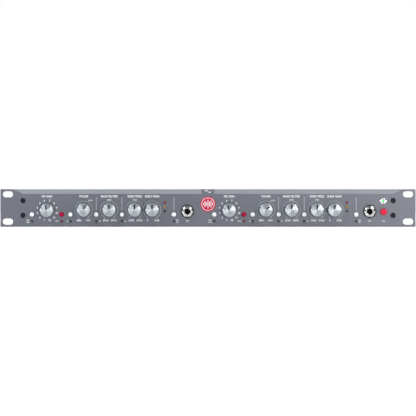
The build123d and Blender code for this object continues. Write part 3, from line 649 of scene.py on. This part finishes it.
for channel in CHANNELS:
    for number in BUTTON_NUMBERS:
        make_button(f"white_button_{channel}_{number}", "white_cap", "white_button", BUTTON_RADIUS)
    make_button(f"phantom_button_{channel}", "crimson_cap", "crimson_button", BUTTON_RADIUS)
make_button("power_button", "red_cap", "red_button", POWER_RADIUS)


# ---------------------------------------------------------------- lamps

BUTTON_X = [middle(f"white_button_1_{number}").x for number in BUTTON_NUMBERS]
PHANTOM_X = middle("phantom_button_1").x
LAMP_RADIUS = 1.5
LAMP_RIM = 1.9
STATUS_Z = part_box("green_leds")[0].z + LAMP_RIM * MM
METER_X = middle("amber_leds").x - CHANNEL_PITCH / 2
METER_Z = middle("amber_leds").z
METER_PITCH = 4.95 * MM
LAMP_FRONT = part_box("green_leds")[0].y / MM
LAMP_REAR = 1.2


def in_channel(x, channel):
    """Place of a channel 1 position in the given channel."""
    return x + CHANNEL_PITCH * (channel - 1)


def make_lamp(name, x, z, look, slot_name, nodes=(), front=LAMP_FRONT):
    """Three millimetre lamp: round dome, straight barrel and rim."""
    profile = [
        (0.0, front, 0), (1.05, front + 0.18, 0.9), (LAMP_RADIUS, front + 1.2, 1.2),
        (LAMP_RADIUS, 0.2, 0), (LAMP_RIM, 0.2, 0.1), (LAMP_RIM, LAMP_REAR, 0.1),
        (0.0, LAMP_REAR, 0),
    ]
    make_turned(name, profile, look, slot_name, (x, 0, z), nodes=nodes, segments=48)


for channel in CHANNELS:
    first = channel == 1
    for number, button_x in zip(BUTTON_NUMBERS, BUTTON_X):
        make_lamp(
            f"status_lamp_{channel}_{number}", in_channel(button_x, channel), STATUS_Z,
            "green_lens", "green_lamp", nodes=("green_leds",) if first and number == 1 else (),
        )
    make_lamp(
        f"phantom_lamp_{channel}", in_channel(PHANTOM_X, channel), STATUS_Z, "red_lens", "red_lamp",
        nodes=("red_leds",) if first else (),
    )
    meter_rows = (
        ("high", 1, "meter_red_lens", "red_lamp", ()),
        ("mid", 0, "amber_lens", "amber_lamp", ("amber_leds",) if first else ()),
        ("low", -1, "green_lens", "green_lamp", ()),
    )
    for row, step, look, slot_name, nodes in meter_rows:
        z = METER_Z + step * METER_PITCH
        make_lamp(f"meter_lamp_{row}_{channel}", in_channel(METER_X, channel), z, look, slot_name, nodes)

power_lamp = axis_of("power_led_bezel")
bezel_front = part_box("power_led_bezel")[0].y / MM
make_lamp(
    "power_lamp", power_lamp.x, power_lamp.z, "lit_lens", "lit_green_lamp", ("power_led",),
    bezel_front + 0.05,
)
make_turned(
    "power_lamp_bezel",
    [
        (1.6, -4.2, 0), (1.6, bezel_front + 0.3, 0.1), (2.0, bezel_front, 0.25),
        (3.0, bezel_front + 0.3, 0.8), (3.9, bezel_front + 1.05, 0.6),
        (4.2, bezel_front + 1.6, 0.1), (4.2, -4.0, 0), (2.6, -4.0, 0), (2.6, 4.0, 0), (2.0, 4.0, 0),
        (2.0, 0.1, 0), (1.6, 0.1, 0),
    ],
    "chrome", "chrome", power_lamp, nodes=("power_led_bezel",), closed=True,
)


# ---------------------------------------------------------------- jacks, nuts and screws

NUT_HEIGHT = 3.0
NUT_CONE = 0.42
NUT_CONE_STEPS = (0.22, 0.4, 0.6, 0.8, 1.1)
NUT_CORNER_CUT = 0.12
FRONT_NUT_FLATS = 11.5
REAR_NUT_FLATS = 12.6
NUT_BORE = 4.82
NUT_RIM = 5.0
JACK_RADIUS = 7.0 * MM


def make_nut(name, x, z, seat, outward, flats, nodes=()):
    """Hexagon jack nut with a coned face; outward is -1 to the front and 1 to the back."""
    top = seat + outward * NUT_HEIGHT
    corner = flats / math.sqrt(3)
    radii = [corner - step for step in NUT_CONE_STEPS]
    profile = [
        (NUT_BORE, seat, 0), (corner, seat, 0),
        *((radius, top - outward * (radius - NUT_RIM) * NUT_CONE, 0) for radius in radii),
        (5.2, top - outward * 0.05, 0.15), (NUT_BORE, top - outward * 0.3, 0),
    ]
    shape = {"segments": 120, "closed": True, "radius_at": hexagon(flats, corner - NUT_CORNER_CUT)}
    make_turned(name, profile, "chrome", "chrome", (x, 0, z), nodes=nodes, **shape)


def make_jack_bushing(name, x, z, mouth, inward):
    """Bright rounded mouth ring of a jack, with the dark bore behind it."""
    front = mouth - inward * 0.05
    make_turned(
        f"{name}_bushing",
        [
            (3.17, front + inward * 6.0, 0), (3.17, front + inward * 1.0, 0.1),
            (3.3, front + inward * 0.35, 0.2), (3.75, front, 0.35), (4.2, front, 0.35),
            (4.7, front + inward * 0.4, 0.2), (4.8, front + inward * 1.1, 0.1),
            (4.8, front + inward * 6.0, 0),
        ],
        "chrome", "chrome", (x, 0, z), closed=True,
    )


case_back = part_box("rear_panel")[1].y / MM


def pair_centres(node, half_width):
    """X of the two equal pieces in one node, the lower first."""
    low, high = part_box(node)
    return (low.x + half_width, high.x - half_width)


front_jack_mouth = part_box("front_jacks")[0].y / MM
rear_jack_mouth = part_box("rear_jacks")[1].y / MM
front_jack_middle = middle("front_jacks")
rear_jack_z = middle("rear_jacks").z
washer_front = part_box("front_jack_washers")[0].y / MM
FRONT_JACK_X = [front_jack_middle.x + CHANNEL_PITCH * (channel - 1.5) for channel in CHANNELS]
REAR_JACK_X = pair_centres("rear_jacks", JACK_RADIUS)

for channel in CHANNELS:
    first = channel == 1
    x, z = FRONT_JACK_X[channel - 1], front_jack_middle.z
    nut_nodes = ("jack_nuts",) if first else ()
    make_nut(f"front_jack_nut_{channel}", x, z, washer_front, -1, FRONT_NUT_FLATS, nut_nodes)
    make_jack_bushing(f"front_jack_{channel}", x, z, front_jack_mouth, 1)
    make_turned(
        f"front_jack_washer_{channel}",
        [
            (4.8, PANEL_FACE / MM, 0), (7.85, PANEL_FACE / MM, 0), (7.85, washer_front, 0.35),
            (4.8, washer_front, 0),
        ],
        "nylon", "jack_plastic", (x, 0, z), nodes=("front_jack_washers",) if first else (),
        closed=True,
    )
    x = REAR_JACK_X[channel - 1]
    make_nut(f"rear_jack_nut_{channel}", x, rear_jack_z, case_back, 1, REAR_NUT_FLATS)
    make_jack_bushing(f"rear_jack_{channel}", x, rear_jack_z, rear_jack_mouth, -1)


def make_button_screw(name, x, z, nodes=()):
    """Black button head screw with a hexagon socket."""
    seat = PANEL_FACE / MM
    make_turned(
        name,
        [
            (0.0, seat - 0.75, 0), (1.12, seat - 0.8, 0), (1.16, seat - 1.9, 0.05),
            (1.9, seat - 2.0, 0.4), (2.85, seat - 1.15, 0.6), (3.0, seat - 0.3, 0.1),
            (3.0, seat, 0), (1.5, seat, 0), (1.5, 4.5, 0.2), (0.0, 4.5, 0),
        ],
        "black_steel", "black_steel", (x, 0, z), nodes=nodes, radius_at=socket_radius,
    )


def socket_radius(radius, depth, angle):
    """Turns the screw's inner socket ring into a hexagon and leaves the rest round."""
    if depth > PANEL_FACE or not 1.1 * MM < radius < 1.18 * MM:
        return radius
    return SOCKET_APOTHEM * MM / math.cos(from_flat(angle))


SOCKET_APOTHEM = 1.0
SCREW_HEAD = 3.0 * MM
screws_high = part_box("panel_screws")[1]
SCREW_X = screws_high.x - SCREW_HEAD
SCREW_Z = screws_high.z - SCREW_HEAD
for side, end in ((-1, "left"), (1, "right")):
    for level, height in ((-1, "low"), (1, "high")):
        whole = ("panel_screws",) if (side, level) == (-1, -1) else ()
        make_button_screw(f"panel_screw_{end}_{height}", side * SCREW_X, level * SCREW_Z, whole)


def cross_radius(half_width, reach):
    """Radius function of a cross recess, in millimetres, that leaves wider rings round."""

    def radius_at(radius, depth, angle):
        if radius > reach * 1.02 * MM:
            return radius
        around = abs((angle + math.pi / 4) % (math.pi / 2) - math.pi / 4)
        arm = reach / math.cos(around)
        return min(arm, half_width / max(math.sin(around), 1e-6)) * radius / reach

    return radius_at


def make_cross_screw(name, profile, place, direction, look, nodes=()):
    """Screw with a cross recess; the profile's depth runs outward along direction, from the seat."""
    recess = cross_radius(CROSS_HALF_WIDTH, CROSS_REACH)
    screw = make_turned(name, profile, look, "black_steel", place, nodes=nodes, segments=96, radius_at=recess)
    turn = Vector((0, 1, 0)).rotation_difference(Vector(direction)).to_matrix().to_4x4()
    screw.data.transform(turn)


CROSS_HALF_WIDTH = 0.3
CROSS_REACH = 1.25
COUNTERSUNK = [
    (0.0, -1.15, 0), (1.1, -0.95, 0), (1.25, -0.06, 0.02), (1.45, 0.0, 0.05), (2.55, 0.0, 0.15),
    (2.68, -0.12, 0.05), (1.4, -1.3, 0), (1.4, -5.0, 0.3), (0.0, -5.0, 0),
]
PAN_HEAD = [
    (0.0, 0.35, 0), (1.1, 0.45, 0), (1.25, 1.3, 0.02), (1.45, 1.36, 0.05), (2.1, 1.15, 0.5),
    (2.5, 0.55, 0.4), (2.5, 0.0, 0), (1.4, 0.0, 0), (1.4, -8.0, 0.3), (0.0, -8.0, 0),
]
CASE_SCREW_Y = (15.0, 105.0, 195.0)
CASE_SCREW_Z = 9.0

screws_low, screws_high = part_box("chassis_screws")
CASE_SCREW_X = screws_high.x - 2.7 * MM
case_screws = []
for side in (-1, 1):
    for depth in CASE_SCREW_Y:
        case_screws.append(((side * CASE_SCREW_X, depth * MM, screws_high.z), (0, 0, 1)))
        case_screws.append(((side * CASE_SCREW_X, depth * MM, screws_low.z), (0, 0, -1)))
    for level in (-1, 1):
        case_screws.append(((side * CASE_SCREW_X, screws_high.y, level * CASE_SCREW_Z * MM), (0, 1, 0)))
for index, (place, direction) in enumerate(case_screws):
    make_cross_screw(
        f"case_screw_{index + 1}", COUNTERSUNK, place, direction, "black_steel",
        ("chassis_screws",) if index == 0 else (),
    )


# ---------------------------------------------------------------- rear connectors

CONNECTOR_HALF = 13.0 * MM
FIXING_OFFSET = (9.5 * MM, 12.0 * MM)
PIN_CIRCLE = 3.9
PIN_TURNS = (30, 150, 270)
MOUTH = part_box("mic_input_sockets")[1].y / MM
SOCKET_CONTACT = [(0.75, 205.0, 0), (0.75, 212.3, 0.1), (1.3, 212.3, 0.1), (1.3, 205.0, 0)]
PLUG_CONTACT = [(0.0, 208.65, 0), (0.7, 208.6, 0.2), (1.24, 208.02, 0.25), (1.24, 197.0, 0), (0.0, 197.0, 0)]
BLADES = ((-7.0, 3.6), (0.0, 7.6), (7.0, 3.6))
BLADE_HALF_WIDTH = 1.04 * MM
BLADE_HALF_HEIGHT = 2.04 * MM
MIC_X = pair_centres("mic_input_sockets", CONNECTOR_HALF)
LINE_X = pair_centres("line_output_plugs", CONNECTOR_HALF)


def contact_places(x):
    """Places of the three contacts of a connector centred at x."""
    for turn in PIN_TURNS:
        angle = math.radians(turn)
        yield Vector((x + PIN_CIRCLE * MM * math.cos(angle), 0, PIN_CIRCLE * MM * math.sin(angle)))


def make_connector_trim(name, x, female):
    """Raised lip around a connector's opening, and its gilt contacts."""
    inner = 9.72 if female else 8.12
    make_turned(
        f"{name}_lip",
        [
            (inner, MOUTH - 1.5, 0), (inner, MOUTH + 0.35, 0.25), (inner + 1.0, MOUTH + 0.5, 0.3),
            (inner + 1.5, MOUTH + 0.02, 0.1), (inner + 1.5, MOUTH - 0.4, 0),
        ],
        "nylon", "connector_metal", (x, 0, 0), closed=True,
    )
    contact = SOCKET_CONTACT if female else PLUG_CONTACT
    for number, place in enumerate(contact_places(x), start=1):
        make_turned(
            f"{name}_contact_{number}", contact, "gold", "brass", place, segments=32, closed=female
        )


for channel in CHANNELS:
    make_connector_trim(f"mic_input_{channel}", MIC_X[channel - 1], True)
    make_connector_trim(f"line_output_{channel}", LINE_X[channel - 1], False)
    for kind, x in (("mic", MIC_X[channel - 1]), ("line", LINE_X[channel - 1])):
        for side in (-1, 1):
            make_cross_screw(
                f"{kind}_screw_{channel}_{'left' if side < 0 else 'right'}", PAN_HEAD,
                (x + side * FIXING_OFFSET[0], MOUTH * MM, -side * FIXING_OFFSET[1]), (0, 1, 0),
                "nickel", ("connector_screws",) if (kind, channel, side) == ("mic", 1, -1) else (),
            )


def make_inlet_blades():
    """Three plated blades in the mains inlet."""
    centre = middle("mains_inlet")
    mesh_data = bmesh.new()
    for across, up in BLADES:
        x, z = centre.x + across * MM, centre.z + up * MM
        left, right = x - BLADE_HALF_WIDTH, x + BLADE_HALF_WIDTH
        bottom, top = z - BLADE_HALF_HEIGHT, z + BLADE_HALF_HEIGHT
        corners = [(left, bottom), (right, bottom), (right, top), (left, top)]
        slab(mesh_data, corners, 197.0 * MM, 207.55 * MM)
    blades = finish_mesh("inlet_blades", mesh_data, MATERIALS["nickel"], Vector((0, 0, 0)), CASE)


make_inlet_blades()


# ---------------------------------------------------------------- badge

BADGE_BARS = (3.0, 7.2, 4.4, 10.6, 5.6, 8.4, 3.4)
BADGE_PITCH = 1.72
BADGE_BAR_WIDTH = 0.8 * MM
BADGE_RING = 7.3 * MM
BADGE_RING_WIDTH = 0.5 * MM


def make_badge():
    """Round enamel badge with plain level bars inside a ring."""
    low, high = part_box("front_badge")
    centre = axis_of("front_badge")
    front = low.y / MM
    radius = (high.x - low.x) / 2 / MM
    make_turned(
        "badge_disc",
        [
            (0.0, front + 0.08, 0), (radius - 0.8, front + 0.08, 0.3), (radius - 0.5, front, 0.1),
            (radius, front + 0.25, 0.15), (radius, PANEL_FACE / MM, 0), (0.0, PANEL_FACE / MM, 0),
        ],
        "enamel", "badge", centre, nodes=("front_badge",), segments=96,
    )
    back = (front + 0.2) * MM
    face = (front + 0.02) * MM
    mesh_data = bmesh.new()
    arc_band(mesh_data, (0, 0), BADGE_RING, BADGE_RING_WIDTH, 0, 360, back, face, steps=96)
    for step, height in enumerate(BADGE_BARS):
        place = ((step - len(BADGE_BARS) // 2) * BADGE_PITCH * MM, 0)
        slab(mesh_data, turned(rounded_bar(height * MM, BADGE_BAR_WIDTH), 90, place), back, face)
    sign = finish_mesh("badge_sign", mesh_data, MATERIALS["enamel_white"], centre, CASE)


make_badge()


# ---------------------------------------------------------------- printed legends

PRINT_BACK = PANEL_FACE + 0.01 * MM
PRINT_FACE = PANEL_FACE - 0.03 * MM
CAP_SHARE = 0.70
TITLE_Z = 13.4 * MM
LOW_LABEL_Z = -14.5 * MM
KNOB_Z = middle("output_knob_1").z
GAIN_Z = middle("gain_knob_1").z - 0.3 * MM
DIAL_RADIUS = 10.15 * MM
DIAL_END = 152.0
NUMERAL_RADIUS = 11.65 * MM
DIAL_LINE = 0.38 * MM
TICK_RADIUS = DIAL_RADIUS + 0.9 * MM
OUTPUT_MARK = 30
WEDGE_HALF = 0.5 * MM
PHASE_LINE = 0.3 * MM
DIVIDER_TOP = 12.6 * MM
REAR_LABEL_Z = 17.6 * MM
WAVE_STEPS = 36


def text_mesh(text, height, width, bold):
    """Mesh of a line of text of this cap height, centred, standing in the XZ plane and facing -Y."""
    curve = bpy.data.curves.new("text", "FONT")
    curve.body = text
    curve.align_x = "CENTER"
    curve.align_y = "CENTER"
    curve.size = height / CAP_SHARE
    curve.offset = bold
    curve.extrude = (PRINT_BACK - PRINT_FACE) / 2
    curve.resolution_u = 3
    holder = add_object("text", curve)
    bpy.context.view_layer.update()
    natural = holder.dimensions.x
    evaluated = holder.evaluated_get(bpy.context.evaluated_depsgraph_get())
    mesh = bpy.data.meshes.new_from_object(evaluated)
    bpy.data.objects.remove(holder)
    bpy.data.curves.remove(curve)
    squeeze = width / natural if width else 1.0
    mesh.transform(Matrix.Diagonal((squeeze, 1.0, 1.0, 1.0)))
    mesh.transform(Matrix.Rotation(math.radians(90), 4, "X"))
    return mesh


def print_text(mesh_data, text, x, z, height, width=None, depth=None, turn=0.0, bold=0.06 * MM):
    """Adds a line of text to a legend's bmesh."""
    mesh = text_mesh(text, height, width, bold)
    depth = (PRINT_BACK + PRINT_FACE) / 2 if depth is None else depth
    mesh.transform(Matrix.Rotation(turn, 4, "Z"))
    mesh.transform(Matrix.Translation((x, depth, z)))
    mesh_data.from_mesh(mesh)
    bpy.data.meshes.remove(mesh)


def print_bar(mesh_data, length, width, degrees, centre):
    """Adds a printed bar with round ends, turned clockwise by degrees."""
    slab(mesh_data, turned(rounded_bar(length, width), degrees, centre), PRINT_BACK, PRINT_FACE)


TITLES = {
    "gain": ("MIC GAIN", 12.2),
    "output": ("VOLUME", 10.8),
    "low_cut": ("BASS FILTER", 19.5),
    "eq_freq": ("SHELF FREQ", 16.6),
    "eq_gain": ("SHELF GAIN", 16.6),
}
LOW_LABELS = {
    "output": (("MIN", -5.3, 5.2), ("MAX", 5.4, 5.2)),
    "low_cut": (("20 HZ", -4.1, 6.2), ("300 HZ", 5.0, 6.6)),
    "eq_freq": (("3 KHZ", -4.1, 6.4), ("20 KHZ", 5.5, 6.8)),
    "eq_gain": (("0", -5.3, 1.5), ("15 DB", 5.3, 5.6)),
}
TOP_LABELS = {"output": ("+10", 7.7, 10.9), "low_cut": ("80 HZ", 0.0, 11.6), "eq_freq": ("9 KHZ", 0.0, 11.6)}


def control_x(control, channel):
    """X of one rotary control's axis."""
    return middle(f"{control}_knob_{channel}").x


def print_titles(mesh_data):
    """Function names above the knobs."""
    for channel in CHANNELS:
        for control, (text, width) in TITLES.items():
            print_text(
                mesh_data, text, control_x(control, channel), TITLE_Z, 2.35 * MM, width * MM,
                bold=0.13 * MM,
            )


def print_gain_numbers(mesh_data):
    """The twelve positions of the gain switches."""
    for channel in CHANNELS:
        x = control_x("gain", channel)
        for step in range(12):
            angle = math.radians(-165 + 30 * step)
            print_text(
                mesh_data, str(step + 1), x + NUMERAL_RADIUS * math.sin(angle),
                GAIN_Z + NUMERAL_RADIUS * math.cos(angle), 2.15 * MM, bold=0.17 * MM,
            )


def print_dial_labels(mesh_data):
    """Numbers at the ends and the top of the dial rings."""
    for channel in CHANNELS:
        for control, labels in LOW_LABELS.items():
            for text, offset, width in labels:
                x = control_x(control, channel) + offset * MM
                print_text(mesh_data, text, x, LOW_LABEL_Z, 1.9 * MM, width * MM, bold=0.13 * MM)
        for control, (text, offset, rise) in TOP_LABELS.items():
            x = control_x(control, channel) + offset * MM
            print_text(mesh_data, text, x, KNOB_Z + rise * MM, 1.6 * MM, 4.6 * MM, bold=0.08 * MM)


def print_lamp_labels(mesh_data):
    """Small generic labels beside the status lamps."""
    for channel in CHANNELS:
        xs = [in_channel(x, channel) for x in BUTTON_X]
        print_text(mesh_data, "MIC", xs[0] - 5.0 * MM, STATUS_Z + 1.2 * MM, 1.35 * MM, 3.6 * MM)
        print_text(mesh_data, "LINE", xs[0] - 5.0 * MM, STATUS_Z - 1.2 * MM, 1.35 * MM, 3.6 * MM)
        print_text(mesh_data, "48 V", in_channel(PHANTOM_X, channel) - 5.2 * MM, STATUS_Z, 1.6 * MM, 4.2 * MM)
        phase = (xs[1] - 3.4 * MM, STATUS_Z)
        arc_band(mesh_data, phase, 0.75 * MM, PHASE_LINE, 0, 360, PRINT_BACK, PRINT_FACE, 24)
        print_bar(mesh_data, 2.6 * MM, PHASE_LINE, -60, phase)
        for x in xs[2:4]:
            print_text(mesh_data, "IN", x + 3.9 * MM, STATUS_Z, 1.5 * MM, 2.0 * MM)
        print_text(mesh_data, "EQ", xs[4] + 4.0 * MM, STATUS_Z + 1.2 * MM, 1.35 * MM, 2.6 * MM)
        print_text(mesh_data, "IN", xs[4] + 4.0 * MM, STATUS_Z - 1.2 * MM, 1.35 * MM, 2.0 * MM)
        print_text(mesh_data, "DI", FRONT_JACK_X[channel - 1], STATUS_Z + 0.4 * MM, 1.9 * MM, 2.4 * MM)
    print_text(mesh_data, "ON", middle("power_button").x, STATUS_Z, 1.9 * MM, 3.0 * MM)


def print_dial_rings(mesh_data):
    """Thin dial rings, their end ticks and the pointer marks at the top."""
    for channel in CHANNELS:
        for control in CONTROLS[1:]:
            centre = (control_x(control, channel), KNOB_Z)
            arc_band(
                mesh_data, centre, DIAL_RADIUS, DIAL_LINE, -DIAL_END, DIAL_END, PRINT_BACK, PRINT_FACE
            )
            for angle in (-DIAL_END, DIAL_END):
                foot = arc_points(TICK_RADIUS, angle, angle, 1, centre)[0]
                print_bar(mesh_data, 2.2 * MM, DIAL_LINE, angle - 90, foot)
        mark_x = control_x("output", channel)
        foot = arc_points(TICK_RADIUS, OUTPUT_MARK, OUTPUT_MARK, 1, (mark_x, KNOB_Z))[0]
        print_bar(mesh_data, 2.4 * MM, 0.4 * MM, OUTPUT_MARK - 90, foot)
        for control in ("low_cut", "eq_freq"):
            tip_x = control_x(control, channel)
            tip_z = KNOB_Z + DIAL_RADIUS
            wedge = [
                (tip_x, tip_z - WEDGE_HALF), (tip_x - 0.7 * MM, tip_z + WEDGE_HALF),
                (tip_x + 0.7 * MM, tip_z + WEDGE_HALF),
            ]
            slab(mesh_data, wedge, PRINT_BACK, PRINT_FACE)


def print_dividers(mesh_data):
    """Upright lines that lead from the title row down to the third, fourth and fifth buttons."""
    button_z = middle("white_button_1_1").z
    top = DIVIDER_TOP
    bottom = button_z + 4.8 * MM
    for channel in CHANNELS:
        for x in BUTTON_X[2:]:
            centre = (in_channel(x, channel), (top + bottom) / 2)
            print_bar(mesh_data, top - bottom, 0.5 * MM, 90, centre)


def print_tab_sign(mesh_data):
    """One wave period on the panel's centre tab."""
    centre_z = PANEL_TOP - 2.6 * MM
    line = []
    for step in range(WAVE_STEPS + 1):
        share = step / WAVE_STEPS
        line.append(((share - 0.5) * 7.2 * MM, centre_z + 1.2 * MM * math.sin(2 * math.pi * share)))
    half = 0.5 * MM
    upper = [(x, z + half) for x, z in line]
    lower = [(x, z - half) for x, z in reversed(line)]
    slab(mesh_data, upper + lower, PRINT_BACK, PRINT_FACE)


def print_rear_labels(mesh_data):
    """Generic names above the rear sockets."""
    labels = [("MAINS", middle("mains_inlet").x - 24.0 * MM, 0.0)]
    for channel in CHANNELS:
        for text, places in (("MIC", MIC_X), ("LINE", LINE_X), ("OUT", REAR_JACK_X)):
            labels.append((f"{text} {channel}", places[channel - 1], REAR_LABEL_Z))
    depth = case_back * MM + 0.01 * MM
    for text, x, z in labels:
        print_text(mesh_data, text, x, z, 2.1 * MM, depth=depth, turn=math.pi, bold=0.07 * MM)


for name, fill, look in (
    ("titles", print_titles, "ink"), ("gain_numbers", print_gain_numbers, "ink"),
    ("dial_labels", print_dial_labels, "ink"), ("lamp_labels", print_lamp_labels, "ink"),
    ("dial_rings", print_dial_rings, "line_ink"), ("dividers", print_dividers, "line_ink"),
    ("tab_sign", print_tab_sign, "ink"), ("rear", print_rear_labels, "ink"),
):
    legend_data = bmesh.new()
    fill(legend_data)
    finish_mesh(f"legend_{name}", legend_data, MATERIALS[look], Vector((0, 0, 0)), CASE)


# ---------------------------------------------------------------- carried-over nodes

NODE_MATERIALS = {
    "panel": ("front_panel",),
    "paint": ("bottom_plate", "top_cover", "left_side", "right_side", "rear_panel"),
    "nylon": (
        "front_jacks", "rear_jacks", "mic_input_sockets", "line_output_plugs", "mains_inlet",
        "fuse_drawer",
    ),
    "control": ("potentiometers", "gain_switches", "push_switches"),
    "nickel": ("control_nuts", "transformer_clamp", "mic_input_latch_1", "mic_input_latch_2"),
    "board": ("control_board", "main_board", "power_board"),
    "brass": ("board_standoffs",),
    "sleeve": ("board_capacitors",),
    "tape": ("mains_transformer",),
    "ribbon": ("internal_cables",),
}

for look, nodes in NODE_MATERIALS.items():
    for node in nodes:
        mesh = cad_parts[node].data
        mesh.materials.clear()
        mesh.materials.append(MATERIALS[look])


# ---------------------------------------------------------------- floor, light and camera

FLOOR_GLOW = 0.42
FLOOR_SIZE = 40.0
STUDIO_GREYS = ((0.0, 0.07), (0.2, 0.12), (0.45, 0.34), (0.7, 0.26), (1.0, 0.24))
FOCAL_LENGTH = 327.7
CAMERA_DISTANCE = 4.4


def make_floor():
    """Large pale floor that the object stands on."""
    mesh_data = bmesh.new()
    bmesh.ops.create_grid(mesh_data, x_segments=8, y_segments=8, size=FLOOR_SIZE / 2)
    mesh = bpy.data.meshes.new("floor")
    mesh_data.to_mesh(mesh)
    mesh_data.free()
    floor = add_object("floor", mesh)
    floor.location = (0, 0, PANEL_BOTTOM - 0.05 * MM)
    paper = weathered(
        "floor_paper", (0.93, 0.93, 0.93), roughness=0.8, tint=0.01, patch=3.0,
        Emission_Color=(1.0, 1.0, 1.0, 1.0),
    )
    coords = add_node(paper, "ShaderNodeTexCoord")
    distance = add_node(
        paper, "ShaderNodeVectorMath", [(0, coords.outputs["Object"])], operation="LENGTH"
    )
    far = remap(paper, distance.outputs["Value"], 0.0, 0.6, from_low=0.6, from_high=2.0)
    seen = add_node(paper, "ShaderNodeLightPath").outputs["Is Camera Ray"]
    glow = calculate(paper, "ADD", calculate(paper, "MULTIPLY", far, seen), FLOOR_GLOW)
    connect(paper, glow, "Emission Strength")
    mesh.materials.append(paper)


def area_light(name, place, target, size, power, colour=(1.0, 1.0, 1.0)):
    """Soft rectangular light aimed at a point."""
    data = bpy.data.lights.new(name, "AREA")
    data.shape = "RECTANGLE"
    data.size, data.size_y = size
    data.energy = power
    data.color = colour
    light = add_object(name, data)
    light.location = place
    light.visible_camera = False
    direction = Vector(target) - Vector(place)
    light.rotation_euler = direction.to_track_quat("-Z", "Y").to_euler()


def make_world():
    """White backdrop for the camera, and for all else a studio that is dimmer below than above."""
    world = bpy.data.worlds.new("studio")
    world.use_nodes = True
    coords = add_node(world, "ShaderNodeTexCoord")
    split = add_node(world, "ShaderNodeSeparateXYZ", [("Vector", coords.outputs["Generated"])])
    ramp = add_node(world, "ShaderNodeValToRGB", [("Fac", split.outputs["Z"])])
    elements = ramp.color_ramp.elements
    while len(elements) < len(STUDIO_GREYS):
        elements.new(0.5)
    for element, (place, grey) in zip(elements, STUDIO_GREYS):
        element.position = place
        element.color = (grey, grey, grey * 1.03, 1.0)
    seen = add_node(world, "ShaderNodeLightPath").outputs["Is Camera Ray"]
    colour = mix_colours(world, seen, ramp.outputs["Color"], (1.0, 1.0, 1.0))
    world.node_tree.links.new(colour, world.node_tree.nodes["Background"].inputs["Color"])
    bpy.context.scene.world = world


def make_camera():
    """Long lens straight in front of the panel."""
    data = bpy.data.cameras.new("camera")
    data.sensor_width = 36.0
    data.lens = FOCAL_LENGTH
    data.clip_start = 0.05
    data.clip_end = 100.0
    camera = add_object("camera", data)
    camera.location = (0.0, PANEL_FACE - CAMERA_DISTANCE, 0.0)
    camera.rotation_euler = (math.radians(90), 0, 0)
    bpy.context.scene.camera = camera


make_floor()
make_world()
area_light("key", (0.75, -0.62, 0.75), (0.08, 0, 0), (0.5, 0.5), 4.0, (1.0, 0.965, 0.93))
area_light("window", (0.70, -2.2, 0.24), (0.24, 0, 0), (0.5, 0.75), 11.5, (1.0, 0.96, 0.92))
area_light("left_fill", (-0.8, -0.62, 0.72), (-0.1, 0, 0), (0.5, 0.5), 5.6, (0.94, 0.97, 1.0))
area_light("left_window", (-0.78, -2.2, 0.2), (-0.2, 0, 0), (0.5, 0.7), 3.8)
area_light("front_top", (0.0, -1.6, 1.0), (0, 0, 0), (2.2, 0.5), 3.2)
area_light("side_right", (1.2, -0.16, 0.0), (0, -0.05, 0), (0.5, 0.4), 7.0)
area_light("side_left", (-1.2, -0.16, 0.0), (0, -0.05, 0), (0.5, 0.4), 7.0)
area_light("top", (0.0, 0.7, 2.2), (0, 0.35, 0), (3.0, 2.0), 16.0)
make_camera()
bpy.context.scene.view_settings.view_transform = "Standard"
bpy.context.scene.view_settings.look = "None"
